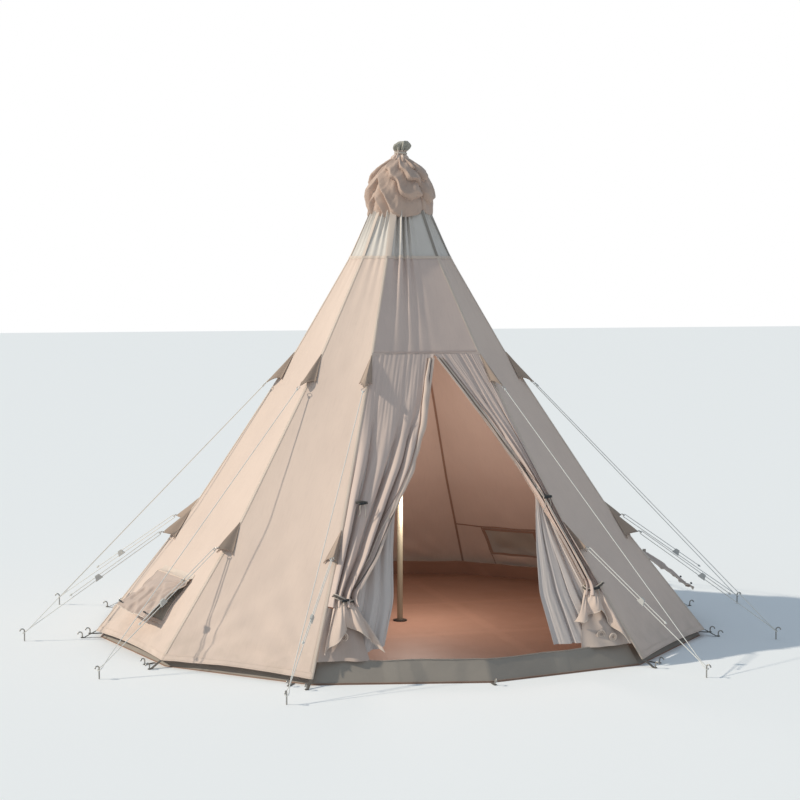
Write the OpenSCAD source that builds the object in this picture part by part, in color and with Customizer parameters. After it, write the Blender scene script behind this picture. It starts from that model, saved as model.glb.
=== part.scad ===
// Single-pole teepee tent: eleven ridges, a wide front face with tied-back door
// curtains, a net vent under a gathered cap, a tub groundsheet and eleven guy ropes.
// Angles run from the middle of the door (-Y), positive towards +X.

/* [Canopy] */
// Radius of the canvas hem at its corners
base_r = 2000; // [1600:10:2600]
// Height of the canvas hem above the ground
hem_z = 40; // [20:1:80]
// Radius of the ridges at the lower hoods
lower_r = 1380; // [1100:10:1700]
// Height of the lower hoods' top seam
lower_z = 800; // [650:10:1000]
// Radius of the ridges at the upper hoods and the door header
upper_r = 700; // [560:10:900]
// Height of the door header seam and the upper hoods' top seam
upper_z = 1800; // [1500:10:2150]
// Radius of the seam between canvas and net
net_r = 336; // [280:2:400]
// Height of the seam between canvas and net
net_z = 2410; // [2250:10:2600]
// Radius of the top of the net
crown_r = 200; // [160:2:250]
// Height of the top of the net
crown_z = 2700; // [2660:10:2850]
// Thickness of the canvas, measured outwards from the pole
canvas_t = 5; // [3:0.5:8]
// Half the angle that the door face spans
door_half = 30; // [25:1:36]

/* [Vent cap] */
// Largest radius of the gathered cap
cap_r = 222; // [205:1:260]
// Height of the cap
cap_h = 350; // [290:5:400]
// Thickness of the cap's cloth
cap_t = 8; // [4:1:14]
// Radius of the tied tuft above the cap
tuft_r = 55; // [40:1:70]
// Height of the tuft above the cap
tuft_h = 110; // [80:1:140]

/* [Pole] */
// Outer radius of the pole
pole_r = 19; // [15:0.5:25]
// Wall of the pole's tube
pole_wall = 1.6; // [1.2:0.1:3]
// Length of one pole section without its spigot
section_l = 752; // [640:1:880]
// Length of a spigot
spigot_l = 80; // [50:1:120]
// Gap between a spigot and the tube round it
spigot_gap = 0.3; // [0.2:0.05:0.6]
// Radius of the foot's disc
foot_r = 46; // [35:1:70]
// Thickness of the foot's disc
foot_t = 8; // [5:1:14]
// Radius of the head that carries the canopy
head_r = 34; // [28:1:36]

/* [Groundsheet] */
// Radius of the groundsheet at its corners
floor_r = 1985; // [1580:5:2590]
// Radius of the groundsheet at the corner in the middle of the door
sill_r = 1930; // [1560:5:2500]
// Thickness of the groundsheet
floor_t = 3; // [2:0.5:5]
// Height of the groundsheet's wall
tub_h = 120; // [80:5:180]
// Gap between the wall and the canvas outside it
tub_gap = 12; // [8:1:25]

/* [Door curtains] */
// Thickness of a curtain where it hangs flat
drape_t = 26; // [16:1:36]
// Depth of a curtain where it is gathered
gather_t = 74; // [50:1:100]
// Thickness of a net curtain
net_t = 6; // [4:0.5:10]
// Gap between a curtain and the net behind it
drape_gap = 6; // [3:0.5:12]
// Gap between a curtain and the ridge beside it
jamb_gap = 22; // [20:1:40]

/* [Windows] */
// Width of a window
window_w = 400; // [300:5:500]
// Height of a window's lower edge above the ground
window_low = 205; // [160:5:260]
// Height of a window's upper edge above the ground
window_high = 405; // [340:5:480]
// Thickness of the window net
window_net_t = 2; // [1:0.5:3]
// How far a flap reaches past its window on each side
flap_over = 34; // [20:1:60]
// Thickness of a flap
flap_t = 5; // [3:0.5:8]
// Gap between the canvas and a flap's hinge line
flap_gap = 9; // [6:0.5:15]
// Angle at which a flap stands off its panel
flap_open = 15; // [12:1:30]

/* [Hoods] */
// How far an upper hood's tip stands out from the pole
upper_tip_r = 890; // [800:5:1000]
// Height of an upper hood's tip
upper_tip_z = 1605; // [1400:5:1750]
// Half the width of an upper hood at its mouth
upper_hood_w = 75; // [50:1:100]
// Height of the side corners of an upper hood
upper_hood_z = 1550; // [1350:5:1700]
// How far a lower hood's tip stands out from the pole
lower_tip_r = 1572; // [1400:5:1750]
// Height of a lower hood's tip
lower_tip_z = 655; // [560:5:780]
// Half the width of a lower hood at its mouth
lower_hood_w = 105; // [70:1:130]
// Height of the side corners of a lower hood
lower_hood_z = 540; // [440:5:640]
// Thickness of a hood's cloth
hood_t = 5; // [3:0.5:8]
// Radius of a hood ring, to the middle of its wire
ring_r = 12; // [9:0.5:16]
// Radius of the wire of the rings
ring_wire = 2; // [1.5:0.1:3]

/* [Guy ropes] */
// Diameter of the rope
rope_d = 5; // [3:0.5:6]
// Gap between a rope and the slider round it
rope_gap = 1; // [0.5:0.1:1.5]
// Distance between the two runs of rope in a slider
run_pitch = 20; // [20:1:22]
// Distance from the upper end of the lower run to the slider
slider_run = 470; // [300:5:520]
// Length of a slider
slider_l = 52; // [40:1:70]
// Thickness of a slider
slider_t = 12; // [10:0.5:16]

/* [Pegs] */
// Radius of a peg's rod
peg_r = 4; // [3:0.1:5]
// Radius of a peg's hook
hook_r = 14; // [11:0.5:18]
// Distance of the hem pegs from the pole
hem_peg_r = 2088; // [1680:2:2720]
// Distance of the groundsheet pegs from the pole
floor_peg_r = 2030; // [1630:2:2660]
// Width of a webbing loop
loop_w = 20; // [12:1:30]
// Thickness of a webbing loop
loop_t = 2; // [1:0.5:3]

/* [Hidden] */
ridges = 11;
sections = 4;
pole_base = floor_t + foot_t;
pole_top = pole_base + sections * section_l;
face_step = (360 - 2 * door_half) / (ridges - 1);
face_half = face_step / 2;
window_faces = [2, 4, 9];
seat = 1;
rim = 14;
tie_t = 6;
tie_w = 70;
tie_h = 24;
toggle_r = 7;
toggle_l = 49;
piping_r = 4;
slider_wall = 3.5;
loop_reach = 46;
net_inset = 30;
loop_shift = 3.5;
profile = [[hem_z, base_r], [lower_z, lower_r], [upper_z, upper_r], [net_z, net_r]];
face_slope = atan((base_r - lower_r) * cos(face_half) / (lower_z - hem_z));

// The cap's outer line, as shares of its radius and its height.
cap_profile = [
  [0.94, 0], [1, 0.2], [0.97, 0.45], [0.86, 0.68], [0.66, 0.85], [0.42, 0.95], [0.3, 1]
];

// A flap's size, and its hinge line in its face's frame: [distance from the pole, height].
flap_z = window_high + flap_over;
flap_w = window_w + 2 * flap_over;
flap_l = (window_high - window_low + 2 * flap_over) / cos(face_slope);
flap_hinge = [
  lookup(flap_z, profile) * cos(face_half) + flap_gap * cos(face_slope),
  flap_z + flap_gap * sin(face_slope)
];

// The rope's route in the plane of its ridge: [distance from the pole, sideways, height].
guy_route = [
  [916, 0, 1580], [1300, 0, 1196], [1700, 0, 796], [2100, 0, 396], [2375, 0, 121],
  [2410, 4, 86], [2432, 10, 66], [2447, 11, 54], [2455, 8, 50], [2458, 0, 48],
  [2455, -8, 50], [2447, -11, 54], [2432, -10, 64], [2412, -4, 79], [2390, 0, 95],
  [2190, 0, 231], [1990, 0, 367], [1790, 0, 503], [1590, 0, 639],
  [1586, 0, 645], [1587, 0, 653], [1594, 0, 657], [1601, 0, 655],
  [1786, 0, 529], [1970, 0, 404], [2155, 0, 278]
];
guy_low = [2390, 95];
guy_high = [1590, 639];
lower_fall = atan2(guy_high[1] - guy_low[1], guy_low[0] - guy_high[0]);
guy_peg_r = 2447;
guy_peg_h = 62;
stake_peg_h = 24;

// Door curtains: [height, inner edge, how much it is gathered from 0 to 1].
left_drape = [
  [1790, 45, 0], [1400, -75, 0.1], [1140, -202, 0.25], [910, -352, 0.4],
  [650, -516, 0.6], [450, -690, 1], [320, -650, 0.9], [130, -620, 1]
];
right_drape = [
  [1790, 57, 0], [1400, 309, 0.2], [1140, 455, 0.5], [950, 555, 0.9],
  [700, 655, 0.8], [450, 740, 1], [320, 660, 0.9], [130, 610, 1]
];
left_net = [
  [1780, 30, 0], [1100, -255, 0], [900, -340, 0], [650, -400, 0], [410, -442, 0], [140, -560, 0]
];
right_net = [
  [1780, 75, 0], [1100, 480, 0], [950, 556, 0], [650, 490, 0], [410, 450, 0], [140, 470, 0]
];

// Places of the tie-backs: [side, height, middle of the bundle].
ties = [[-1, 950, -560], [-1, 450, -745], [1, 950, 600], [1, 450, 785]];

// ---- places and profiles ----

function ridge_angle(k) = door_half + (k - 1) * face_step;
function at(r, angle, z) = [r * sin(angle), -r * cos(angle), z];
function skin_r(z) = lookup(z, profile);
// A point beside a ridge, from its distance from the pole, its sideways offset and its height.
function beside(angle, p) = at(p[0], angle, p[2]) + p[1] * [cos(angle), sin(angle), 0];
function unit(v) = v / norm(v);
function door_y(z) = -skin_r(z) * cos(door_half);
function two_digits(k) = k < 10 ? str("0", k) : str(k);

// ---- lofted solids ----

// A closed solid through rings of points, each ring running counter-clockwise about the way it goes.
// A looped one joins its last ring to its first.
module loft(rings, looped = false) {
  n = len(rings[0]);
  count = len(rings);
  sides = [
    for (i = [0 : (looped ? count : count - 1) - 1], j = [0 : n - 1])
      let (k = (j + 1) % n, next = (i + 1) % count)
        each [[i * n + j, next * n + j, next * n + k], [i * n + j, next * n + k, i * n + k]]
  ];
  bottom = [for (j = [0 : n - 1]) j];
  top = [for (j = [n - 1 : -1 : 0]) (count - 1) * n + j];
  faces = looped ? sides : concat(sides, [bottom, top]);
  polyhedron(points = [for (ring = rings) each ring], faces = faces);
}

function tangents(points) = [
  for (i = [0 : len(points) - 1])
    unit(points[min(i + 1, len(points) - 1)] - points[max(i - 1, 0)])
];

// Sideways directions that stay square to the path without twisting round it.
function carried(dirs) = [
  for (i = 0, u = unit(cross(dirs[0], [0, 0, 1])); i < len(dirs);
       i = i + 1, u = i < len(dirs) ? unit(u - (u * dirs[i]) * dirs[i]) : u)
    u
];

module rope(points, r, sides = 8) {
  dirs = tangents(points);
  across = carried(dirs);
  loft([
    for (i = [0 : len(points) - 1])
      [
        for (s = [0 : sides - 1])
          let (a = 360 * s / sides)
            points[i] + r * (cos(a) * across[i] + sin(a) * cross(dirs[i], across[i]))
      ]
  ]);
}

// ---- canopy ----

// A band of cloth between two angles, through [height, radius] levels.
module cloth_band(from_angle, to_angle, levels, wall) {
  loft([
    for (level = levels)
      [
        at(level[1], from_angle, level[0]), at(level[1], to_angle, level[0]),
        at(level[1] - wall, to_angle, level[0]), at(level[1] - wall, from_angle, level[0])
      ]
  ]);
}

// Places children in a face's own frame: X along the face, Y outwards, Z up, origin on the pole.
module on_face(k) {
  rotate([0, 0, ridge_angle(k) + face_half]) mirror([0, 1, 0]) children();
}

module window_hole(k, margin, depth) {
  on_face(k)
    translate([-window_w / 2 - margin, 0, window_low - margin])
      cube([window_w + 2 * margin, depth, window_high - window_low + 2 * margin]);
}

module panel(k) {
  color("#e9d8c8")
    difference() {
      cloth_band(ridge_angle(k), ridge_angle(k + 1), profile, canvas_t);
      if (len(search(k, window_faces)) > 0)
        window_hole(k, 0, base_r);
    }
}

module window_nets() {
  color("#b9aa9c")
    for (k = window_faces)
      intersection() {
        cloth_band(ridge_angle(k), ridge_angle(k + 1),
                   [for (level = profile) [level[0], level[1] - (canvas_t - window_net_t) / 2]],
                   window_net_t);
        window_hole(k, 0, base_r);
      }
}

module door_header() {
  color("#a99c92")
    cloth_band(-door_half, door_half, [for (i = [2, 3]) profile[i]], canvas_t);
}

module vent_net() {
  color("#c9c5bd")
    loft([
      for (k = [1 : ridges])
        let (angle = ridge_angle(k))
          [
            at(net_r, angle, net_z), at(net_r - canvas_t, angle, net_z),
            at(crown_r - canvas_t, angle, crown_z), at(crown_r, angle, crown_z)
          ]
    ], looped = true);
}

// The cloth cone that hangs the canopy from the pole's head.
module crown_cone() {
  cone_top = pole_top + foot_t;
  color("#d8c6b4")
    rotate_extrude($fn = 48)
      polygon([
        [crown_r - rim, crown_z + seat], [crown_r - rim - canvas_t, crown_z + seat],
        [pole_r + seat, cone_top - rim], [pole_r + canvas_t + seat, cone_top - rim]
      ]);
}

// The gathered cap: its cloth bulges over the net's top and closes round the tuft.
module vent_cap() {
  cap_z = crown_z + seat;
  color("#a58c78")
    rotate_extrude($fn = 64)
      polygon(concat(
        [for (p = cap_profile) [p[0] * cap_r, cap_z + p[1] * cap_h]],
        [for (i = [len(cap_profile) - 1 : -1 : 0])
          let (p = cap_profile[i]) [p[0] * cap_r - cap_t, cap_z + p[1] * cap_h - p[1] * cap_t]]
      ));
}

module cap_tuft() {
  low = crown_z + cap_h + 2 * seat;
  color("#8f8a7c")
    rotate_extrude($fn = 48)
      polygon([
        [0, low + cap_t], [tuft_r * 0.55, low + cap_t], [tuft_r * 0.6, low + tuft_h * 0.35],
        [tuft_r, low + tuft_h * 0.62], [tuft_r * 0.8, low + tuft_h * 0.95], [0, low + tuft_h]
      ]);
}

// ---- pole ----

// A tube whose upper end holds the spigot for the next section.
module pole_section(i) {
  z = pole_base + (i - 1) * section_l;
  bore_r = pole_r - pole_wall;
  color("#8f8b7a")
    translate([0, 0, z])
      difference() {
        union() {
          cylinder(h = section_l, r = pole_r);
          if (i < sections)
            cylinder(h = section_l + spigot_l, r = bore_r - spigot_gap);
        }
        translate([0, 0, -seat]) cylinder(h = section_l - spigot_l + seat, r = bore_r);
      }
}

module pole_foot() {
  color("#33302c")
    translate([0, 0, floor_t]) cylinder(h = foot_t, r = foot_r);
}

module pole_head() {
  color("#33302c")
    translate([0, 0, pole_top]) {
      cylinder(h = foot_t, r = pole_r + seat);
      intersection() {
        translate([0, 0, foot_t]) sphere(r = head_r - rim / 2);
        translate([-head_r, -head_r, foot_t]) cube([2 * head_r, 2 * head_r, head_r]);
      }
    }
}

// ---- groundsheet ----

function tub_r(z) = floor_r - (base_r - lower_r) / (lower_z - hem_z) * z;

module groundsheet_floor() {
  color("#a8654a")
    linear_extrude(floor_t)
      polygon(concat(
        [for (k = [1 : ridges]) let (p = at(floor_r - tub_gap, ridge_angle(k), 0)) [p[0], p[1]]],
        [[0, -sill_r + tub_gap]]
      ));
}

module groundsheet_wall() {
  color("#a8654a")
    for (k = [1 : ridges - 1])
      cloth_band(ridge_angle(k), ridge_angle(k + 1),
                 [[floor_t, tub_r(floor_t) - tub_gap], [tub_h, tub_r(tub_h) - tub_gap]], floor_t);
}

module door_sill() {
  lean = tub_r(0) - tub_r(tub_h);
  color("#8b8378")
    for (side = [-1, 1]) {
      angles = side < 0 ? [-door_half, 0] : [0, door_half];
      foot_l = side < 0 ? floor_r : sill_r;
      foot_h = side < 0 ? sill_r : floor_r;
      loft([
        for (z = [floor_t, tub_h])
          let (fall = lean * z / tub_h + tub_gap)
            [
              at(foot_l - fall, angles[0], z), at(foot_h - fall, angles[1], z),
              at(foot_h - fall - floor_t, angles[1], z), at(foot_l - fall - floor_t, angles[0], z)
            ]
      ]);
    }
}

// ---- door ----

// The outer edge of a curtain beside its ridge at a height.
function jamb_x(z, inset) = skin_r(z) * sin(door_half) - inset;

// A curtain through its own levels, between front and back distances from the door's face.
module drape(levels, side, inset, front, back, gather_front, gather_back) {
  loft([
    for (i = [len(levels) - 1 : -1 : 0])
      let (
        z = levels[i][0],
        inner = levels[i][1],
        outer = side * jamb_x(z, inset),
        low_x = min(inner, outer),
        high_x = max(inner, outer),
        y_front = door_y(z) - front - levels[i][2] * gather_front,
        y_back = door_y(z) + back + levels[i][2] * gather_back
      )
        [[low_x, y_front, z], [high_x, y_front, z], [high_x, y_back, z], [low_x, y_back, z]]
  ]);
}

module canvas_curtain(levels, side) {
  color("#a99c92")
    drape(levels, side, jamb_gap, drape_t / 2, drape_t / 2, gather_t - drape_t, 0);
}

module net_curtain(levels, side) {
  back = drape_t / 2 + drape_gap;
  color("#cfcac6")
    drape(levels, side, jamb_gap + net_inset, -back, back + net_t, 0, 0);
}

// Straps that lie across the gathered curtains, each with a toggle.
module curtain_ties() {
  strap = [tie_w, tie_t, tie_h];
  color("#2d2a27")
    for (tie = ties) {
      front = door_y(tie[1] - strap[2] / 2 - toggle_r) - gather_t + drape_t / 2;
      translate([tie[2], front - seat - tie_t / 2, tie[1]]) cube(strap, center = true);
      translate([tie[2], front - seat - tie_t - toggle_r, tie[1]])
        rotate([0, 90, 0]) cylinder(h = toggle_l, r = toggle_r, center = true);
    }
}

// ---- windows ----

// A flap swings about the piping along its upper edge.
module window_flap(k) {
  color("#b7a79a")
    on_face(k)
      translate([0, flap_hinge[0], flap_hinge[1]])
        rotate([face_slope + flap_open, 0, 0]) {
          translate([-flap_w / 2, 0, -flap_l]) cube([flap_w, flap_t, flap_l]);
          rotate([0, 90, 0]) cylinder(h = flap_w, r = piping_r, center = true, $fn = 24);
        }
}

// ---- hoods and rings ----

// How fast the face on one side of a ridge falls back from it.
function faces_door(k, side) = (k == 1 && side < 0) || (k == ridges && side > 0);
function side_fall(k, side) = tan(faces_door(k, side) ? door_half : face_half);

// A gusset that stands out of a ridge. Towards the door it is only as wide as the gap beside the curtain.
module hood(k, top_z, tip_r, tip_z, half_w, corner_z) {
  turn_in = hood_t + seat;
  drop = 1.4 * hood_t;
  apex_out = skin_r(top_z) + seat;
  apex_in = skin_r(top_z - 3 * hood_t) + seat;
  sides = [
    for (side = [-1, 1])
      let (on_door = faces_door(k, side))
        [side, on_door ? jamb_gap - seat : half_w, side_fall(k, side), on_door ? drape_t + seat : seat]
  ];
  corners = [for (s = sides) [skin_r(corner_z) - s[1] * s[2] + s[3], s[0] * s[1], corner_z]];
  corners_in = [
    for (i = [0, 1])
      corners[i] + [turn_in * sides[i][2] + seat, -sides[i][0] * turn_in, 0]
  ];
  outer = [[apex_out, 0, top_z], [tip_r, 0, tip_z], corners[0], corners[1]];
  inner = [[apex_in, 0, top_z - 3 * hood_t], [tip_r - drop, 0, tip_z - drop], corners_in[0], corners_in[1]];
  faces = [
    [0, 1, 2], [0, 3, 1], [4, 6, 5], [4, 5, 7],
    [0, 2, 6], [0, 6, 4], [0, 4, 7], [0, 7, 3],
    [1, 5, 6], [1, 6, 2], [1, 3, 7], [1, 7, 5]
  ];
  polyhedron(points = [for (p = concat(outer, inner)) beside(ridge_angle(k), p)], faces = faces);
}

module upper_hoods() {
  color("#8d7563")
    for (k = [1 : ridges])
      hood(k, upper_z, upper_tip_r, upper_tip_z, upper_hood_w, upper_hood_z);
}

module lower_hoods() {
  color("#8d7563")
    for (k = [1 : ridges])
      hood(k, lower_z, lower_tip_r, lower_tip_z, lower_hood_w, lower_hood_z);
}

module wire_ring(r, wire) {
  rotate_extrude($fn = 32) translate([r, 0]) circle(r = wire, $fn = 16);
}

// A ring in the plane of a rope that falls at an angle, held at a point beside a ridge.
module hung_ring(k, place, fall) {
  translate(beside(ridge_angle(k), place))
    rotate([0, 0, ridge_angle(k) - 90])
      rotate([0, fall, 0])
        wire_ring(ring_r, ring_wire);
}

module hood_rings() {
  upper_fall = atan2(guy_route[0][2] - guy_route[1][2], guy_route[1][0] - guy_route[0][0]);
  upper_start = guy_route[0] - (ring_r + ring_wire + seat) * [cos(upper_fall), 0, -sin(upper_fall)];
  bend = run_pitch / 2 * [sin(lower_fall), 0, cos(lower_fall)]
    - ring_r * [cos(lower_fall), 0, -sin(lower_fall)];
  color("#9a958c")
    for (k = [1 : ridges]) {
      hung_ring(k, upper_start, upper_fall);
      hung_ring(k, [guy_high[0], 0, guy_high[1]] + bend, lower_fall);
    }
}

// ---- guy ropes ----

module guy_rope(k) {
  color("#ece7de")
    rope([for (p = guy_route) beside(ridge_angle(k), p)], rope_d / 2);
}

// A runner with one hole for each run of rope.
module slider(k) {
  slot = rope_d / 2 + rope_gap;
  low = -slot - slider_wall;
  high = run_pitch + slot + slider_wall;
  place = [
    guy_high[0] + slider_run * cos(lower_fall), 0, guy_high[1] - slider_run * sin(lower_fall)
  ];
  color("#bfbdb7")
    translate(beside(ridge_angle(k), place))
      rotate([0, 0, ridge_angle(k) - 90])
        rotate([0, lower_fall, 0])
          difference() {
            rotate([90, 0, 0])
              linear_extrude(slider_t, center = true)
                polygon([
                  [-slider_l / 2, low], [slider_l / 2, low], [slider_l / 4, high], [-slider_l / 4, high]
                ]);
            for (run = [0, run_pitch])
              translate([0, 0, run])
                rotate([0, 90, 0]) cylinder(h = slider_l + 2, r = slot, center = true);
          }
}

// ---- pegs ----

module peg(angle, r, h) {
  translate(at(r, angle, 0)) rotate([0, 0, angle - 90]) {
    cylinder(h = h, r = peg_r);
    translate([hook_r, 0, h]) rotate([90, 0, 0])
      rotate_extrude(angle = 180, $fn = 32) translate([hook_r, 0]) circle(r = peg_r, $fn = 16);
  }
}

// The groundsheet's pegs stand beside the ridges, on the side away from the door.
function floor_peg_angle(k) = ridge_angle(k) + (k <= ridges / 2 ? loop_shift : -loop_shift);

module pegs() {
  color("#6f6a62") {
    for (k = [1 : ridges]) {
      peg(ridge_angle(k), guy_peg_r, guy_peg_h);
      peg(ridge_angle(k), hem_peg_r, stake_peg_h);
      peg(floor_peg_angle(k), floor_peg_r, stake_peg_h);
    }
    peg(0, sill_r + loop_reach, stake_peg_h);
  }
}

// A webbing strap with a ring at its end, which drops over a peg.
module strap_loop(angle, from_r, from_z, to_r) {
  ring = peg_r + ring_wire + 3;
  end_r = to_r - ring - ring_wire - seat;
  ring_z = ring_wire + seat;
  run = end_r - from_r;
  drop = from_z - seat;
  translate(at(from_r, angle, from_z))
    rotate([0, 0, angle - 90])
      rotate([0, atan2(drop, run), 0])
        translate([0, -loop_w / 2, 0]) cube([norm([run, drop]), loop_w, loop_t]);
  translate(at(to_r, angle, ring_z)) wire_ring(ring, ring_wire);
}

module hem_loops() {
  sheet_edge = floor_r * cos(face_half) / cos(face_half - loop_shift);
  color("#4a443d") {
    for (k = [1 : ridges]) {
      strap_loop(ridge_angle(k), base_r + seat, hem_z, hem_peg_r);
      strap_loop(floor_peg_angle(k), sheet_edge, seat, floor_peg_r);
    }
    strap_loop(0, sill_r - tub_gap + seat, seat, sill_r + loop_reach);
  }
}

// ---- nodes ----

for (k = [1 : ridges - 1])
  panel(k);
door_header();
vent_net();
crown_cone();
vent_cap();
cap_tuft();
for (i = [1 : sections])
  pole_section(i);
pole_foot();
pole_head();
groundsheet_floor();
groundsheet_wall();
door_sill();
canvas_curtain(left_drape, -1);  // door_curtain_left
canvas_curtain(right_drape, 1);  // door_curtain_right
net_curtain(left_net, -1);  // net_curtain_left
net_curtain(right_net, 1);  // net_curtain_right
curtain_ties();
window_nets();
for (k = window_faces)
  window_flap(k);
upper_hoods();
lower_hoods();
hood_rings();
hem_loops();
pegs();
for (k = [1 : ridges]) {
  guy_rope(k);
  slider(k);
}
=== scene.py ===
"""The looks of a single-pole teepee tent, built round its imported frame.

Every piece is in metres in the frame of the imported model: +Z up along the pole, -Y out of
the door. Angles run from the middle of the door, positive towards +X, and ridges are
numbered from the right side of the door round the back to its left side.
"""

import logging
import math
from dataclasses import dataclass, field
from enum import Enum
from typing import Callable, Iterable, Sequence

import bpy
import numpy as np
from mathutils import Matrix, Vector


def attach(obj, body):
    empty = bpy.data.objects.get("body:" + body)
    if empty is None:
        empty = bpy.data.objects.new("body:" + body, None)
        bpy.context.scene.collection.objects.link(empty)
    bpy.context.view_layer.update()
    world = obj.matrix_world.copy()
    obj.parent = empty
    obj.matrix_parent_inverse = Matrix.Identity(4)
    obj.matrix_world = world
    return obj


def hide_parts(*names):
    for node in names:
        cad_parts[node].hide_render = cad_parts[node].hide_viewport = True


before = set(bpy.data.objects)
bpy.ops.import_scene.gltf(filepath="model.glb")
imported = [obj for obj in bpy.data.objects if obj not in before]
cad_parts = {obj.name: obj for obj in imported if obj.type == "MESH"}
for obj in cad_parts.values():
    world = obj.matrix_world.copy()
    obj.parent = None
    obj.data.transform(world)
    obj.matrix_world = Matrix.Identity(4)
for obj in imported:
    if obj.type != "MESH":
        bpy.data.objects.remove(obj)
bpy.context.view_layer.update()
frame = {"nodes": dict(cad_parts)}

LOG = logging.getLogger("teepee")
Array = np.ndarray
Level = tuple[float, float]
Triple = tuple[float, float, float]
BANDS_PER_METRE = 6.3  # light and dark bands of a wave texture, at a scale of 1


# ---------------------------------------------------------------- shader writing


class Wire:
    """A shader socket that can be used in arithmetic."""

    def __init__(self, tree: bpy.types.NodeTree, socket: bpy.types.NodeSocket) -> None:
        """Holds a socket of a tree."""
        self.tree = tree
        self.socket = socket

    def _math(self, operation: str, first: object, second: object = 0.0) -> "Wire":
        """Adds one Math node.

        Args:
            operation: The node's operation.
            first: The first value or wire.
            second: The second value or wire.

        Returns:
            The node's output.
        """
        node = self.tree.nodes.new("ShaderNodeMath")
        node.operation = operation
        for socket, value in zip(node.inputs, (first, second)):
            if isinstance(value, Wire):
                self.tree.links.new(value.socket, socket)
            else:
                socket.default_value = value
        return Wire(self.tree, node.outputs[0])

    def __add__(self, other: object) -> "Wire":
        """Adds."""
        return self._math("ADD", self, other)

    def __radd__(self, other: object) -> "Wire":
        """Adds, reflected."""
        return self._math("ADD", other, self)

    def __sub__(self, other: object) -> "Wire":
        """Subtracts."""
        return self._math("SUBTRACT", self, other)

    def __rsub__(self, other: object) -> "Wire":
        """Subtracts, reflected."""
        return self._math("SUBTRACT", other, self)

    def __mul__(self, other: object) -> "Wire":
        """Multiplies."""
        return self._math("MULTIPLY", self, other)

    def __rmul__(self, other: object) -> "Wire":
        """Multiplies, reflected."""
        return self._math("MULTIPLY", other, self)

    def largest(self, other: object) -> "Wire":
        """Returns the larger of two values."""
        return self._math("MAXIMUM", self, other)

    def ramp(self, low: float, high: float) -> "Wire":
        """Returns 0 at low and below, 1 at high and above, smooth between."""
        node = self.tree.nodes.new("ShaderNodeMapRange")
        node.interpolation_type = "SMOOTHSTEP"
        self.tree.links.new(self.socket, node.inputs["Value"])
        node.inputs["From Min"].default_value = low
        node.inputs["From Max"].default_value = high
        return Wire(self.tree, node.outputs["Result"])


Value = float | int | tuple | Wire


def named_socket(made: bpy.types.Node, key: str) -> bpy.types.NodeSocket:
    """Reads a socket's key: its name with underscores, or i followed by its number."""
    return made.inputs[int(key[1:]) if key[0] == "i" and key[1:].isdigit() else key.replace("_", " ")]


class Shader:
    """A material being written: one method adds any node, and dress sets the surface."""

    def __init__(self, name: str) -> None:
        """Makes an empty material with a Principled surface."""
        self.material = bpy.data.materials.new(name)
        self.material.use_nodes = True
        self.tree = self.material.node_tree
        self.surface = next(n for n in self.tree.nodes if n.type == "BSDF_PRINCIPLED")

    def node(
        self, kind: str, output: int | str = 0, settings: dict | None = None, **values: Value
    ) -> Wire:
        """Adds a node.

        Args:
            kind: The node's type without the ShaderNode prefix.
            output: The output that is returned.
            settings: The node's own settings, which are set first.
            values: Values or wires for its sockets, with spaces written as underscores.

        Returns:
            The chosen output.
        """
        made = self.tree.nodes.new("ShaderNode" + kind)
        for key, value in (settings or {}).items():
            setattr(made, key, value)
        for key, value in values.items():
            self._feed(named_socket(made, key), value)
        return Wire(self.tree, made.outputs[output])

    def _feed(self, socket: bpy.types.NodeSocket, value: Value) -> None:
        """Links a wire to a socket, or sets its value."""
        if isinstance(value, Wire):
            self.tree.links.new(value.socket, socket)
        else:
            socket.default_value = value

    def place(self, scale: Sequence[float] = (1, 1, 1), on_uv: bool = False) -> Wire:
        """Returns the surface's own coordinates in metres, scaled."""
        coordinates = self.node("TexCoord", "UV" if on_uv else "Object")
        return self.node("Mapping", Vector=coordinates, Scale=tuple(scale))

    def height(self) -> Wire:
        """Returns the height above the ground in metres."""
        return self.node("SeparateXYZ", "Z", Vector=self.node("TexCoord", "Object"))

    def noise(self, place: Wire, scale: float, detail: float = 4.0, rough: float = 0.55) -> Wire:
        """Returns a noise between about 0 and 1."""
        return self.node("TexNoise", "Fac", Vector=place, Scale=scale, Detail=detail, Roughness=rough)

    def bands(self, way: str, place: Wire, count: float, **values: Value) -> Wire:
        """Returns bands across a direction, so many light and dark ones to the metre."""
        scale = count / BANDS_PER_METRE
        return self.node("TexWave", "Fac", {"bands_direction": way}, Vector=place, Scale=scale, **values)

    def blend(self, share: Value, first: Value, second: Value) -> Wire:
        """Mixes two colours."""
        colours = {"data_type": "RGBA"}
        return self.node("Mix", 2, colours, i0=share, i6=first, i7=second)

    def bump(self, height: Wire, distance: float, strength: float, under: Wire | None = None) -> Wire:
        """Returns a normal bent by a height.

        Args:
            height: The height, from 0 to 1.
            distance: What 1 stands for, in metres.
            strength: The effect's strength.
            under: A normal that is bent further.

        Returns:
            The normal.
        """
        links = {"Height": height}
        if under is not None:
            links["Normal"] = under
        return self.node("Bump", "Normal", None, Distance=distance, Strength=strength, **links)

    def dress(self, **values: Value) -> bpy.types.Material:
        """Sets the surface's sockets and returns the material."""
        for key, value in values.items():
            self._feed(self.surface.inputs[key.replace("_", " ")], value)
        return self.material


def rgba(colour: Sequence[float]) -> tuple[float, float, float, float]:
    """Returns a colour with full alpha."""
    return (colour[0], colour[1], colour[2], 1.0)


# ---------------------------------------------------------------- finishes


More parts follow.
